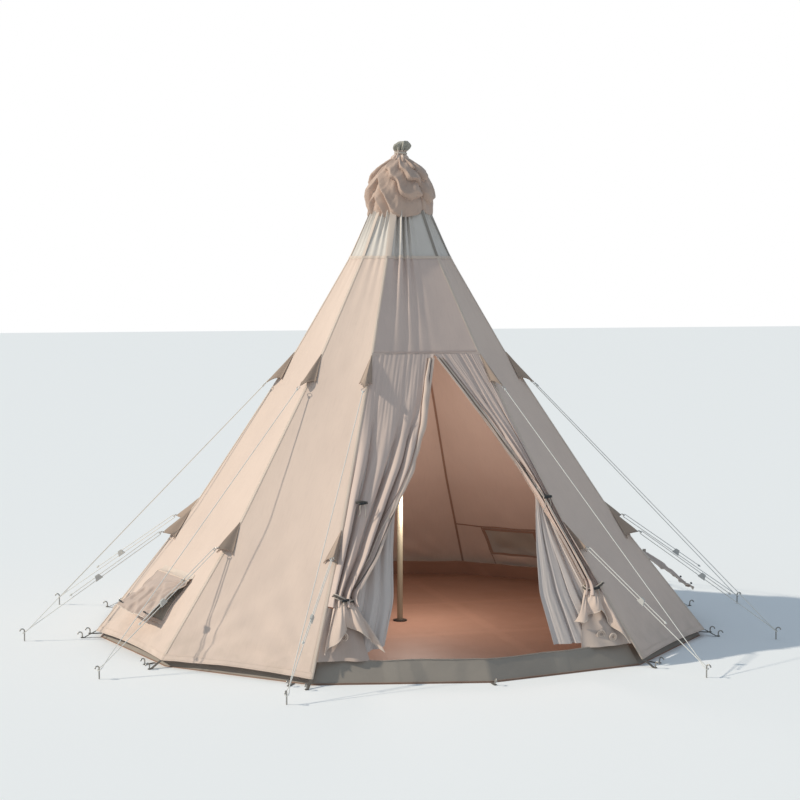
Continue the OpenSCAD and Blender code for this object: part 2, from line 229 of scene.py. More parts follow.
@dataclass(frozen=True)
class CanvasCloth:
    """Woven canvas: a plain weave, slubs, a faint mottling and dust near the ground."""

    name: str
    colour: Triple
    shade: Triple
    dust: Triple = (0.42, 0.34, 0.27)
    threads: float = 620.0
    weave_depth: float = 0.0005
    crease: float = 0.004
    sheen: float = 0.12

    def material(self) -> bpy.types.Material:
        """Writes the finish."""
        paint = Shader(self.name)
        cloth = paint.place(on_uv=True)
        weave = paint.bands("X", cloth, self.threads).largest(paint.bands("Y", cloth, self.threads))
        solid = paint.place()
        mottle = paint.noise(solid, 2.4, 5.0).ramp(0.32, 0.72)
        slub = paint.noise(paint.place((90, 9, 1), on_uv=True), 1.0, 3.0).ramp(0.45, 0.8)
        streak = paint.noise(paint.place((7, 0.9, 1), on_uv=True), 1.0, 3.0).ramp(0.5, 0.85)
        colour = paint.blend(mottle * 0.55 + streak * 0.3, rgba(self.colour), rgba(self.shade))
        colour = paint.blend(slub * 0.14, colour, rgba([c * 0.72 for c in self.shade]))
        soil = paint.noise(solid, 9.0, 6.0).ramp(0.35, 0.75)
        low = 1.0 - paint.height().ramp(0.0, 0.34)
        colour = paint.blend(low * soil * 0.42, colour, rgba(self.dust))
        rumple = paint.noise(paint.place((5, 2.2, 1), on_uv=True), 1.0, 5.0, 0.6)
        normal = paint.bump(rumple, self.crease, 0.5)
        normal = paint.bump(weave, self.weave_depth, 0.35, normal)
        rough = 0.86 + slub * 0.08
        return paint.dress(
            Base_Color=colour, Roughness=rough, Normal=normal,
            Sheen_Weight=self.sheen, Sheen_Roughness=0.6, Specular_IOR_Level=0.25,
        )


@dataclass(frozen=True)
class NetCloth:
    """Fine netting that lets some of what is behind it show."""

    name: str
    colour: Triple
    solid: float = 0.9
    holes: float = 260.0

    def material(self) -> bpy.types.Material:
        """Writes the finish."""
        paint = Shader(self.name)
        cloth = paint.place(on_uv=True)
        threads = paint.bands("X", cloth, self.holes).largest(paint.bands("Y", cloth, self.holes))
        fade = paint.noise(paint.place((6, 1.5, 1), on_uv=True), 1.0, 4.0).ramp(0.3, 0.75)
        colour = paint.blend(fade * 0.4, rgba(self.colour), rgba([c * 0.8 for c in self.colour]))
        cover = self.solid + (1.0 - self.solid) * threads.ramp(0.55, 0.8)
        return paint.dress(
            Base_Color=colour, Roughness=0.8, Alpha=cover,
            Normal=paint.bump(threads, 0.0006, 0.3), Sheen_Weight=0.1, Specular_IOR_Level=0.2,
        )


@dataclass(frozen=True)
class CoatedCloth:
    """Coated groundsheet cloth with fold marks and scuffs."""

    name: str
    colour: Triple
    shade: Triple
    fold_pitch: float = 0.52

    def material(self) -> bpy.types.Material:
        """Writes the finish."""
        paint = Shader(self.name)
        solid = paint.place()
        uneven = {"Distortion": 0.6, "Detail_Scale": 0.4}
        folds = [paint.bands(way, solid, 1 / self.fold_pitch, **uneven).ramp(0.975, 1.0) for way in "XY"]
        crease = folds[0].largest(folds[1])
        mottle = paint.noise(solid, 2.0, 5.0).ramp(0.3, 0.75)
        grit = paint.noise(solid, 60.0, 5.0, 0.7).ramp(0.55, 0.8)
        colour = paint.blend(mottle * 0.6, rgba(self.colour), rgba(self.shade))
        colour = paint.blend(grit * 0.25 + crease * 0.22, colour, rgba([c * 1.25 for c in self.colour]))
        soft = paint.noise(solid, 5.0, 4.0)
        normal = paint.bump(soft + crease * 0.6, 0.006, 0.35)
        grain = paint.noise(solid, 420.0, 2.0)
        normal = paint.bump(grain, 0.0004, 0.3, normal)
        return paint.dress(
            Base_Color=colour, Roughness=0.52 + mottle * 0.14 + grit * 0.1, Normal=normal,
            Specular_IOR_Level=0.35,
        )


@dataclass(frozen=True)
class Braid:
    """Braided cord or webbing."""

    name: str
    colour: Triple
    strands: float = 500.0
    soil: float = 0.3

    def material(self) -> bpy.types.Material:
        """Writes the finish."""
        paint = Shader(self.name)
        solid = paint.place()
        diagonal = paint.bands("DIAGONAL", solid, self.strands)
        stain = paint.noise(solid, 12.0, 4.0).ramp(0.4, 0.8)
        colour = paint.blend(stain * self.soil, rgba(self.colour), rgba([c * 0.6 for c in self.colour]))
        return paint.dress(
            Base_Color=colour, Roughness=0.78 + stain * 0.1, Normal=paint.bump(diagonal, 0.0006, 0.5),
            Sheen_Weight=0.1,
        )


@dataclass(frozen=True)
class PaintedTube:
    """Powder-coated steel with rubbed patches and dust at its foot."""

    name: str
    colour: Triple
    rubbed: Triple = (0.36, 0.34, 0.3)

    def material(self) -> bpy.types.Material:
        """Writes the finish."""
        paint = Shader(self.name)
        solid = paint.place((1, 1, 0.35))
        wear = paint.noise(solid, 16.0, 7.0, 0.65).ramp(0.58, 0.72)
        dust = (1.0 - paint.height().ramp(0.0, 0.5)) * paint.noise(solid, 7.0, 3.0)
        colour = paint.blend(wear * 0.5, rgba(self.colour), rgba(self.rubbed))
        colour = paint.blend(dust * 0.5, colour, rgba((0.4, 0.3, 0.23)))
        return paint.dress(
            Base_Color=colour, Metallic=wear * 0.5 + 0.15, Roughness=0.36 + dust * 0.4,
            Normal=paint.bump(paint.noise(paint.place(), 500.0, 2.0), 0.0002, 0.3),
        )


@dataclass(frozen=True)
class Moulded:
    """Moulded plastic with a fine texture and scuffed patches."""

    name: str
    colour: Triple

    def material(self) -> bpy.types.Material:
        """Writes the finish."""
        paint = Shader(self.name)
        solid = paint.place()
        scuff = paint.noise(solid, 70.0, 6.0, 0.7).ramp(0.55, 0.75)
        colour = paint.blend(scuff * 0.5, rgba(self.colour), rgba([c + 0.08 for c in self.colour]))
        return paint.dress(
            Base_Color=colour, Roughness=0.45 + scuff * 0.25,
            Normal=paint.bump(paint.noise(solid, 900.0, 2.0), 0.0001, 0.4),
        )


@dataclass(frozen=True)
class BareSteel:
    """Zinc-plated wire and rod, dulled in patches."""

    name: str
    colour: Triple

    def material(self) -> bpy.types.Material:
        """Writes the finish."""
        paint = Shader(self.name)
        solid = paint.place()
        dull = paint.noise(solid, 45.0, 6.0, 0.65).ramp(0.45, 0.7)
        colour = paint.blend(dull * 0.6, rgba(self.colour), rgba([c * 0.55 for c in self.colour]))
        return paint.dress(
            Base_Color=colour, Metallic=0.9, Roughness=0.34 + dull * 0.3,
            Normal=paint.bump(paint.noise(solid, 300.0, 3.0), 0.0002, 0.3),
        )


class Finish(Enum):
    """The finishes that the tent's pieces choose from."""

    CANVAS = CanvasCloth("canvas_outside", (0.70, 0.55, 0.46), (0.64, 0.50, 0.42))
    LINING = CanvasCloth("canvas_inside", (0.60, 0.49, 0.425), (0.54, 0.435, 0.375), sheen=0.05)
    FACING = CanvasCloth("canvas_door", (0.64, 0.505, 0.44), (0.58, 0.455, 0.40))
    TAPE = CanvasCloth("ridge_tape", (0.71, 0.585, 0.49), (0.64, 0.52, 0.435), threads=800.0)
    DARK_TAPE = CanvasCloth("inner_tape", (0.30, 0.19, 0.14), (0.25, 0.155, 0.115), threads=800.0)
    # Painted shade: the hoods are the panels' canvas, darkened to dark brown to stand for their shaded sides.
    HOOD_PAINTED_SHADE = CanvasCloth("hood_canvas", (0.40, 0.30, 0.235), (0.33, 0.245, 0.19))
    CAP = CanvasCloth("cap_canvas", (0.54, 0.395, 0.315), (0.45, 0.325, 0.26), crease=0.006)
    TUFT = CanvasCloth("tuft_canvas", (0.38, 0.36, 0.30), (0.30, 0.28, 0.24))
    FLAP = CanvasCloth("flap_canvas", (0.56, 0.435, 0.37), (0.48, 0.37, 0.31))
    VENT_NET = NetCloth("vent_net_cloth", (0.68, 0.62, 0.56), 0.93)
    WINDOW_NET = NetCloth("window_net_cloth", (0.40, 0.37, 0.32), 0.8)
    CURTAIN_NET = NetCloth("curtain_net_cloth", (0.68, 0.59, 0.54), 0.90)
    FLOOR = CoatedCloth("floor_coating", (0.40, 0.245, 0.18), (0.34, 0.20, 0.145))
    # The sill's own dark coating, also used as painted shade: on the vent net's tapes on the side away from
    # the sun, and in part on the wall's outer face for the shadow line under the hem.
    SILL_AND_PAINTED_SHADE = CoatedCloth("sill_coating_and_painted_shade", (0.33, 0.285, 0.24), (0.28, 0.24, 0.205))
    ROPE = Braid("rope_braid", (0.78, 0.76, 0.71), 900.0, 0.2)
    STITCH = Braid("seam_thread", (0.62, 0.54, 0.45), 2500.0, 0.3)
    WEBBING = Braid("dark_webbing", (0.10, 0.085, 0.07), 700.0)
    CORD_TIE = Braid("tie_cord", (0.60, 0.53, 0.45), 900.0, 0.4)
    POLE = PaintedTube("pole_coating", (0.31, 0.295, 0.22))
    BLACK = Moulded("black_plastic", (0.02, 0.02, 0.02))
    PALE = Moulded("pale_plastic", (0.52, 0.51, 0.48))
    ZINC = BareSteel("zinc_wire", (0.55, 0.54, 0.52))
    PEG = BareSteel("peg_steel", (0.40, 0.38, 0.35))


class Wardrobe:
    """Writes each finish's material once and hands it out."""

    def __init__(self) -> None:
        """Starts empty."""
        self._made: dict[Finish, bpy.types.Material] = {}

    def material(self, finish: Finish) -> bpy.types.Material:
        """Returns the material of a finish."""
        if finish not in self._made:
            self._made[finish] = finish.value.material()
        return self._made[finish]


WARDROBE = Wardrobe()


# ---------------------------------------------------------------- shape tools


def beside(angle: float, points: Sequence[Sequence[float]] | Array) -> Array:
    """Places points given beside a ridge or a face's middle line.

    Args:
        angle: The angle of the line, in radians.
        points: Rows of distance from the pole, sideways offset and height.

    Returns:
        The points in the tent's own frame.
    """
    given = np.asarray(points, dtype=float)
    out, along, up = given[..., 0], given[..., 1], given[..., 2]
    x = out * math.sin(angle) + along * math.cos(angle)
    y = -out * math.cos(angle) + along * math.sin(angle)
    return np.stack([x, y, up], axis=-1)


def circle(count: int) -> Array:
    """Returns angles that stand evenly round a circle."""
    return np.linspace(0, 2 * math.pi, count, endpoint=False)


def round_pole(radius: Array, turn: Array, z: Array) -> Array:
    """Returns points round the pole, at a distance and a height for each angle."""
    return np.stack(np.broadcast_arrays(radius * np.sin(turn), -radius * np.cos(turn), z), axis=-1)


def show(name: str, data: bpy.types.ID) -> bpy.types.Object:
    """Makes an object and puts it in the scene."""
    made = bpy.data.objects.new(name, data)
    bpy.context.scene.collection.objects.link(made)
    return made


def smooth(value: Array | float, low: float, high: float) -> Array:
    """Returns a smooth step from 0 at low to 1 at high."""
    share = np.clip((np.asarray(value, dtype=float) - low) / (high - low), 0.0, 1.0)
    return share * share * (3.0 - 2.0 * share)


def follow(levels: Sequence[Sequence[float]], at: Array, round_off: float) -> Array:
    """Reads a broken line with its corners rounded.

    Args:
        levels: Rows of height and value, in any order.
        at: The heights to read at.
        round_off: How far each corner's rounding reaches.

    Returns:
        The values.
    """
    rows = np.array(sorted(levels), dtype=float)
    low, high = rows[0], rows[-1]
    first = (rows[1, 1] - low[1]) / (rows[1, 0] - low[0])
    last = (high[1] - rows[-2, 1]) / (high[0] - rows[-2, 0])
    reach = 1.0
    rows = np.vstack([
        [low[0] - reach, low[1] - reach * first], rows, [high[0] + reach, high[1] + reach * last],
    ])
    taps = np.linspace(-round_off, round_off, 9)
    return np.mean([np.interp(np.asarray(at) + tap, rows[:, 0], rows[:, 1]) for tap in taps], axis=0)


def lengths(points: Array, axis: int) -> Array:
    """Returns the running lengths of a grid of points along one of its ways."""
    steps = np.linalg.norm(np.diff(points, axis=axis), axis=-1)
    start = np.zeros_like(np.take(steps, [0], axis=axis))
    return np.concatenate([start, np.cumsum(steps, axis=axis)], axis=axis)


class Ripples:
    """A fixed sum of slow waves that keeps cloth from lying flat."""

    def __init__(self, seed: int, count: int, shortest: float, longest: float, lean: float) -> None:
        """Draws the waves.

        Args:
            seed: The seed of the draws.
            count: The number of waves.
            shortest: The shortest wave, in metres.
            longest: The longest wave, in metres.
            lean: How far the folds may lean from upright, in radians.
        """
        draws = np.random.default_rng(seed)
        size = shortest * (longest / shortest) ** draws.random(count)
        lean_of = draws.uniform(-lean, lean, count)
        self._across = 2 * math.pi / size * np.cos(lean_of)
        self._up = 2 * math.pi / size * np.sin(lean_of)
        self._start = draws.uniform(0, 2 * math.pi, count)
        self._weight = (size / longest) ** 0.7
        self._weight = self._weight / self._weight.sum()

    def __call__(self, across: Array, up: Array) -> Array:
        """Returns the height of the cloth, from about -1 to 1."""
        total = 0.0
        for wave_x, wave_z, start, weight in zip(self._across, self._up, self._start, self._weight):
            total = total + weight * np.sin(wave_x * across + wave_z * up + start)
        return total * 1.6


def fold(phase: Array, sharpness: float = 0.35) -> Array:
    """Returns a row of folds with narrow crests and wide troughs, from -1 to 1."""
    wave = np.sin(phase + 0.5 * np.sin(phase + 0.8))
    return np.sign(wave) * np.abs(wave) ** (1.0 - sharpness * (wave < 0))


class Weaver:
    """Gathers grids, shells and tubes into one mesh with its UVs in metres."""

    def __init__(self, name: str) -> None:
        """Starts an empty piece."""
        self.name = name
        self._points: list[Array] = []
        self._faces: list[Array] = []
        self._uvs: list[Array] = []
        self._marks: list[Array] = []
        self._finishes: list[Finish] = []
        self._total = 0

    def _mark(self, finish: Finish) -> int:
        """Returns the number of a finish in this piece."""
        if finish not in self._finishes:
            self._finishes.append(finish)
        return self._finishes.index(finish)

    def add(self, points: Array, faces: Array, corner_uv: Array, finish: Finish) -> None:
        """Adds quads.

        Args:
            points: Rows of x, y and z.
            faces: Rows of four numbers of points.
            corner_uv: The UV of each corner of each face.
            finish: The finish of the faces.
        """
        self._points.append(points.reshape(-1, 3))
        self._faces.append(faces + self._total)
        self._uvs.append(corner_uv.reshape(-1, 2))
        self._marks.append(np.full(len(faces), self._mark(finish)))
        self._total += len(points.reshape(-1, 3))

    def extend(self, faces: Array, corner_uv: Array, finish: Finish) -> None:
        """Adds quads of another finish between the points of the first grid."""
        self._add_more(0, faces, corner_uv, finish)

    @staticmethod
    def _quads(rows: int, columns: int, closed: bool) -> tuple[Array, Array, Array]:
        """Returns a grid's quads, and the rows and columns of their corners."""
        spans = columns if closed else columns - 1
        row, column = np.meshgrid(np.arange(rows - 1), np.arange(spans), indexing="ij")
        row, column = row.ravel(), column.ravel()
        corner_row = np.stack([row, row, row + 1, row + 1], axis=1)
        corner_column = np.stack([column, column + 1, column + 1, column], axis=1)
        return corner_row * columns + corner_column % columns, corner_row, corner_column

    @staticmethod
    def _flat(points: Array, closed: bool) -> Array:
        """Lays a grid out flat by its lengths, with a column more where it is closed."""
        wide = np.concatenate([points, points[:, :1]], axis=1) if closed else points
        across = lengths(wide, 1)
        middle = across[:, -1:] / 2
        return np.stack([across - middle, lengths(wide, 0)], axis=-1)

    @staticmethod
    def normals(points: Array, closed: bool = False) -> Array:
        """Returns the unit normals of a grid whose columns and rows turn right-handed."""
        if closed:
            across = np.roll(points, -1, axis=1) - np.roll(points, 1, axis=1)
        else:
            across = np.gradient(points, axis=1)
        up = np.gradient(points, axis=0)
        normal = np.cross(across, up)
        return normal / np.maximum(np.linalg.norm(normal, axis=-1, keepdims=True), 1e-9)

    def shell(
        self, points: Array, thickness: float, front: Finish, back: Finish | None = None,
        closed: bool = False, uv: Array | None = None,
    ) -> None:
        """Adds a closed sheet of cloth, from its front surface inwards.

        Args:
            points: The front surface, as rows of columns of points.
            thickness: The cloth's thickness.
            front: The finish of the front and the rims.
            back: The finish of the back, or none for the front's.
            closed: Whether the last column joins the first.
            uv: The flat coordinates of the points, or none to measure them.
        """
        rows, columns = points.shape[:2]
        inner = points - thickness * self.normals(points, closed)
        flat = self._flat(points, closed) if uv is None else uv
        quads, corner_row, corner_column = self._quads(rows, columns, closed)
        corner_uv = flat[corner_row, corner_column]
        self.add(np.concatenate([points.reshape(-1, 3), inner.reshape(-1, 3)]), quads, corner_uv, front)
        offset = rows * columns
        base = self._total - 2 * offset
        back_finish = front if back is None else back
        self._add_more(base, quads[:, ::-1] + offset, corner_uv[:, ::-1], back_finish)
        spans = np.arange(columns if closed else columns - 1)
        after = (spans + 1) % columns
        top = (rows - 1) * columns
        low_rim = np.stack([spans, spans + offset, after + offset, after], axis=1)
        high_rim = np.stack([after, after + offset, spans + offset, spans], axis=1) + top
        rims = [
            (low_rim, flat[0, spans], flat[0, spans + 1]), (high_rim, flat[-1, spans + 1], flat[-1, spans]),
        ]
        if not closed:
            steps = np.arange(rows - 1)
            left, right = steps * columns, steps * columns + columns - 1
            left_rim = np.stack([left, left + columns, left + columns + offset, left + offset], axis=1)
            right_rim = np.stack([right, right + offset, right + columns + offset, right + columns], axis=1)
            rims.append((left_rim, flat[steps, 0], flat[steps + 1, 0]))
            rims.append((right_rim, flat[steps, -1], flat[steps + 1, -1]))
        for faces, first, second in rims:
            self._add_more(base, faces, np.stack([first, first, second, second], axis=1), front)

    def _add_more(self, base: int, faces: Array, corner_uv: Array, finish: Finish) -> None:
        """Adds quads between points that are there already."""
        self._faces.append(faces + base)
        self._uvs.append(corner_uv.reshape(-1, 2))
        self._marks.append(np.full(len(faces), self._mark(finish)))

    def tube(
        self, path: Array, radius: float | Array, finish: Finish, sides: int = 10, closed: bool = False,
        flatten: float = 1.0, flat_way: Sequence[float] | None = None,
    ) -> None:
        """Adds a tube with closed ends, or a closed loop.

        Args:
            path: The points along its middle.
            radius: Its radius, or one for each point.
            finish: Its finish.
            sides: The number of its sides.
            closed: Whether the last point joins the first.
            flatten: Its thickness along flat_way, as a share of its width.
            flat_way: The direction that it is flattened in.
        """
        path = np.asarray(path, dtype=float)
        count = len(path)
        if closed:
            along = np.roll(path, -1, axis=0) - np.roll(path, 1, axis=0)
        else:
            along = np.gradient(path, axis=0)
        along = along / np.linalg.norm(along, axis=1, keepdims=True)
        first = np.array(flat_way if flat_way is not None else (0.0, 0.0, 1.0), dtype=float)
        if abs(first @ along[0]) > 0.95 * np.linalg.norm(first):
            first = np.array([1.0, 0.0, 0.0])
        ups = np.zeros((count, 3))
        carried = first
        for i in range(count):
            seen = first if flat_way is not None else carried
            carried = seen - (seen @ along[i]) * along[i]
            carried = carried / max(np.linalg.norm(carried), 1e-9)
            ups[i] = carried
        across = np.cross(along, ups)
        turn = circle(sides)
        radii = np.broadcast_to(np.asarray(radius, dtype=float), (count,))[:, None, None]
        ring = (
            np.cos(turn)[None, :, None] * across[:, None, :]
            + flatten * np.sin(turn)[None, :, None] * ups[:, None, :]
        )
        points = path[:, None, :] + radii * ring
        loops = np.concatenate([points, points[:1]]) if closed else points
        quads, corner_row, corner_column = self._quads(len(loops), sides, True)
        flat = self._flat(loops, True)
        if closed:
            quads = quads % (count * sides)
            loops = points
        self.add(loops, quads[:, ::-1], flat[corner_row, corner_column][:, ::-1], finish)
        if not closed:
            base = self._total - count * sides
            for ring_start, middle, flip in ((0, path[0], False), ((count - 1) * sides, path[-1], True)):
                self._cap(base + ring_start, middle, sides, flip, finish)

    def _cap(self, start: int, middle: Array, sides: int, flip: bool, finish: Finish) -> None:
        """Closes a ring of points with a fan of thin quads round its middle point."""
        self._points.append(middle.reshape(1, 3))
        centre = self._total
        self._total += 1
        step = np.arange(0, sides, 2)
        fan = np.stack([
            np.full(len(step), centre), start + step, start + (step + 1) % sides, start + (step + 2) % sides,
        ], axis=1)
        fan = fan[:, ::-1] if flip else fan
        self._faces.append(fan)
        self._uvs.append(np.zeros((len(fan) * 4, 2)))
        self._marks.append(np.full(len(fan), self._mark(finish)))

    def build(
        self, slot: str, body: str = "root", replaces: Iterable[str] = (), crisp: float = 50.0,
    ) -> bpy.types.Object:
        """Makes the piece's object.

        Args:
            slot: The record's material slot; not used.
            body: The body that it rides on.
            replaces: The CAD nodes that it stands for.
            crisp: The angle past which an edge is sharp, in degrees.

        Returns:
            The object.
        """
        mesh = bpy.data.meshes.new(self.name)
        mesh.from_pydata(np.concatenate(self._points).tolist(), [], np.concatenate(self._faces).tolist())
        mesh.uv_layers.new(name="cloth").data.foreach_set("uv", np.concatenate(self._uvs).ravel())
        mesh.polygons.foreach_set("material_index", np.concatenate(self._marks).astype(np.int32))
        mesh.polygons.foreach_set("use_smooth", np.ones(len(mesh.polygons), dtype=bool))
        mesh.set_sharp_from_angle(angle=math.radians(crisp))
        for finish in self._finishes:
            mesh.materials.append(WARDROBE.material(finish))
        mesh.update()
        return settle(show(self.name, mesh), slot, body, replaces)


def settle(
    made: bpy.types.Object, slot: str, body: str = "root", replaces: Iterable[str] = ()
) -> bpy.types.Object:
    """Hangs a piece on the body that it rides on and hides the CAD nodes that it stands for."""
    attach(made, body)
    nodes = tuple(replaces)
    if nodes:
        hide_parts(*nodes)
    LOG.info("%s: %d faces", made.name, len(made.data.polygons) if made.type == "MESH" else 0)
    return made


# ---------------------------------------------------------------- the pitched skin


@dataclass(frozen=True)
class Skin:
    """The canvas as it hangs on its ridges, in metres.

    Face 0 is the door's, between the last ridge and the first, and is twice as wide.
    """

    levels: tuple[Level, ...] = ((0.04, 2.0), (0.8, 1.38), (1.8, 0.70), (2.41, 0.336), (2.70, 0.20))
    hem: float = 0.04
    header: float = 1.8
    net_low: float = 2.41
    net_high: float = 2.70
    door_half: float = math.radians(30)
    step: float = math.radians(30)
    ridges: int = 11
    sag: float = 0.016
    hem_lift: float = 0.012
    rounding: float = 0.05
    ripple: Ripples = field(default_factory=lambda: Ripples(11, 14, 0.12, 1.1, 0.7))

    def ridge_angle(self, ridge: int) -> float:
        """Returns the angle of a ridge, numbered from 1."""
        return self.door_half + (ridge - 1) * self.step

    def middle(self, face: int) -> float:
        """Returns the angle of a face's middle line."""
        return 0.0 if face == 0 else self.ridge_angle(face) + self.step / 2

    def half(self, face: int) -> float:
        """Returns half of the angle that a face spans."""
        return self.door_half if face == 0 else self.step / 2

    def radius(self, z: Array | float) -> Array:
        """Returns the ridges' distance from the pole at a height."""
        return follow(self.levels, np.asarray(z, dtype=float), self.rounding)

    def half_width(self, face: int, z: Array | float) -> Array:
        """Returns half of a face's width at a height."""
        return self.radius(z) * math.sin(self.half(face))

    def slack(self, face: int, u: Array, z: Array) -> Array:
        """Returns how far the cloth stands out of its flat face.

        Args:
            face: The face.
            u: The place across it, from -1 to 1.
            z: The height.

        Returns:
            The distance outwards, mostly negative.
        """
        inside = 1.0 - u * u
        x = u * self.half_width(face, z)
        tall = np.clip((z - self.hem) / (self.net_low - self.hem), 0.0, 1.0)
        hang = -self.sag * inside * (0.35 + 0.65 * np.sin(math.pi * tall))
        wave = 0.0036 * self.ripple(x + 2.3 * face, z) * inside ** 0.5
        low = np.exp(-(z - self.hem) / 0.42)
        corner = 1.04 * self.half_width(face, self.hem)
        corner_left, corner_right = np.arctan2(z, x + corner), np.arctan2(z, corner - x)
        fans = 0.0060 * low * inside * (
            np.sin(23 * corner_left + 1.3 * face) + np.sin(19 * corner_right + 0.7 * face * face)
        )
        high = np.exp(-(self.net_low - z) / 0.20)
        shirring = 0.0030 * high * inside ** 0.4 * np.sin(11 * u + 1.7 * face + 2.0 * u * u)
        if face == 0:
            left = np.exp(-((u + 0.42) / 0.42) ** 2)
            spread = u + 0.10 * (self.net_low - z)
            creased = fold(19 * spread + 2.5 * np.sin(3.1 * spread), 0.6)
            shirring = 0.0170 * np.exp(-(self.net_low - z) / 0.30) * left * creased * inside ** 0.3
        return np.maximum(hang + wave + fans + shirring, -0.05)

    def point(self, face: int, u: Array, z: Array, lift: Array | float = 0.0) -> Array:
        """Returns points on the cloth.

        Args:
            face: The face.
            u: The place across it, from -1 to 1.
            z: The height.
            lift: The distance out of the cloth.

        Returns:
            The points.
        """
        u, z = np.broadcast_arrays(np.asarray(u, dtype=float), np.asarray(z, dtype=float))
        small = 0.004
        rise = (1 - u * u) * self.hem_lift * (1 - smooth(z, self.hem, self.hem + 0.3))
        high = z + rise * (0 if face == 0 else 1)
        inwards = math.cos(self.half(face))
        fall = -(self.radius(high + small) - self.radius(high - small)) / (2 * small) * inwards
        size = np.sqrt(1 + fall * fall)
        out = self.slack(face, u, z) + lift
        reach = self.radius(high) * inwards + out / size
        given = np.stack([reach, u * self.half_width(face, high), high + out * fall / size], axis=-1)
        return beside(self.middle(face), given)


@dataclass
class Canopy:
    """The canvas skin: ten faces and the header over the door, in one continuous sheet."""

    skin: Skin
    columns: int = 36
    header_columns: int = 72
    cloth: float = 0.0016
    window_faces: tuple[int, ...] = (2, 4, 9)
    window_half: float = 0.20
    window_low: float = 0.205
    window_high: float = 0.405
    window_columns: int = 16
    flat: tuple[float, float] = (11.15, 3.06)

    def rows(self) -> Array:
        """Returns the heights of the rows, with one on every seam and window edge."""
        marks = (self.skin.hem, self.window_low, self.window_high, self.skin.header, self.skin.net_low)
        counts = (6, 7, 36, 22)
        parts = [np.linspace(a, b, n, endpoint=False) for a, b, n in zip(marks, marks[1:], counts)]
        return np.concatenate([*parts, [marks[-1]]])

    def across(self, face: int, z: Array) -> Array:
        """Returns each column's place across a face, with two on a window's sides.

        Args:
            face: The face.
            z: The heights of the rows.

        Returns:
            The places, from -1 to 1, for each row and column.
        """
        count = self.header_columns if face == 0 else self.columns
        u = np.broadcast_to(np.linspace(-1, 1, count + 1), (len(z), count + 1))
        if face not in self.window_faces:
            return u
        edge = self.window_columns / self.columns
        near = 1 - smooth(z, 0.5, 1.0)
        wanted = self.window_half / self.skin.half_width(face, z)
        place = near * wanted + (1 - near) * edge
        knots = np.array([-1, -edge, edge, 1])
        return np.array([np.interp(row, knots, [-1, -p, p, 1]) for row, p in zip(u, place)])

    def build(self) -> bpy.types.Object:
        """Weaves the sheet and lines it."""
        z = self.rows()
        header_row = int(np.argmin(np.abs(z - self.skin.header)))
        faces = [*range(1, self.skin.ridges), 0]
        ring = self.columns * (self.skin.ridges - 1) + self.header_columns
        points = np.zeros((len(z), ring, 3))
        used = np.zeros((len(z), ring), dtype=bool)
        weaver = Weaver("canopy")
        start = 0
        blocks = []
        for face in faces:
            u = self.across(face, z)
            count = u.shape[1] - 1
            grid = self.skin.point(face, u, np.broadcast_to(z[:, None], u.shape))
            first = header_row if face == 0 else 0
            columns = (start + np.arange(count + 1)) % ring
            points[first:, columns] = grid[first:]
            used[first:, columns] = True
            row, column = np.meshgrid(np.arange(first, len(z) - 1), np.arange(count), indexing="ij")
            row, column = row.ravel(), column.ravel()
            if face in self.window_faces:
                edge = (self.columns - self.window_columns) // 2
                hole = (
                    (z[row] > self.window_low - 1e-6) & (z[row] < self.window_high - 1e-6)
                    & (column >= edge) & (column < self.columns - edge)
                )
                row, column = row[~hole], column[~hole]
            rows = np.stack([row, row, row + 1, row + 1], axis=1)
            spans = np.stack([column, column + 1, column + 1, column], axis=1)
            x = u * self.skin.half_width(face, z)[:, None] + 1.9 * face
            up = lengths(grid, 0)
            uv = np.stack([x[rows, spans], up[rows, spans]], axis=-1)
            blocks.append((rows * ring + columns[spans], uv))
            start += count
        number = np.cumsum(used.ravel()) - 1
        quads = np.concatenate([number[block[0]] for block in blocks])
        uvs = np.concatenate([block[1] for block in blocks])
        header = len(quads) - len(blocks[-1][0])
        weaver.add(points.reshape(-1, 3)[used.ravel()], quads[:header], uvs[:header], Finish.CANVAS)
        weaver.extend(quads[header:], uvs[header:], Finish.FACING)
        nodes = [f"panel_{face:02d}" for face in range(1, self.skin.ridges)]
        canopy = weaver.build("canvas", replaces=[*nodes, "door_header"], crisp=17.0)
        for _ in range(2):
            canopy.data.materials.append(WARDROBE.material(Finish.LINING))
        solid = canopy.modifiers.new("cloth", "SOLIDIFY")
        solid.thickness = self.cloth
        solid.offset = -1.0
        solid.material_offset = 2
        solid.material_offset_rim = 0
        solid.use_even_offset = False
        area = self.flat[0] * self.flat[1] * 0.56
        return canopy


# ---------------------------------------------------------------- geometry nodes


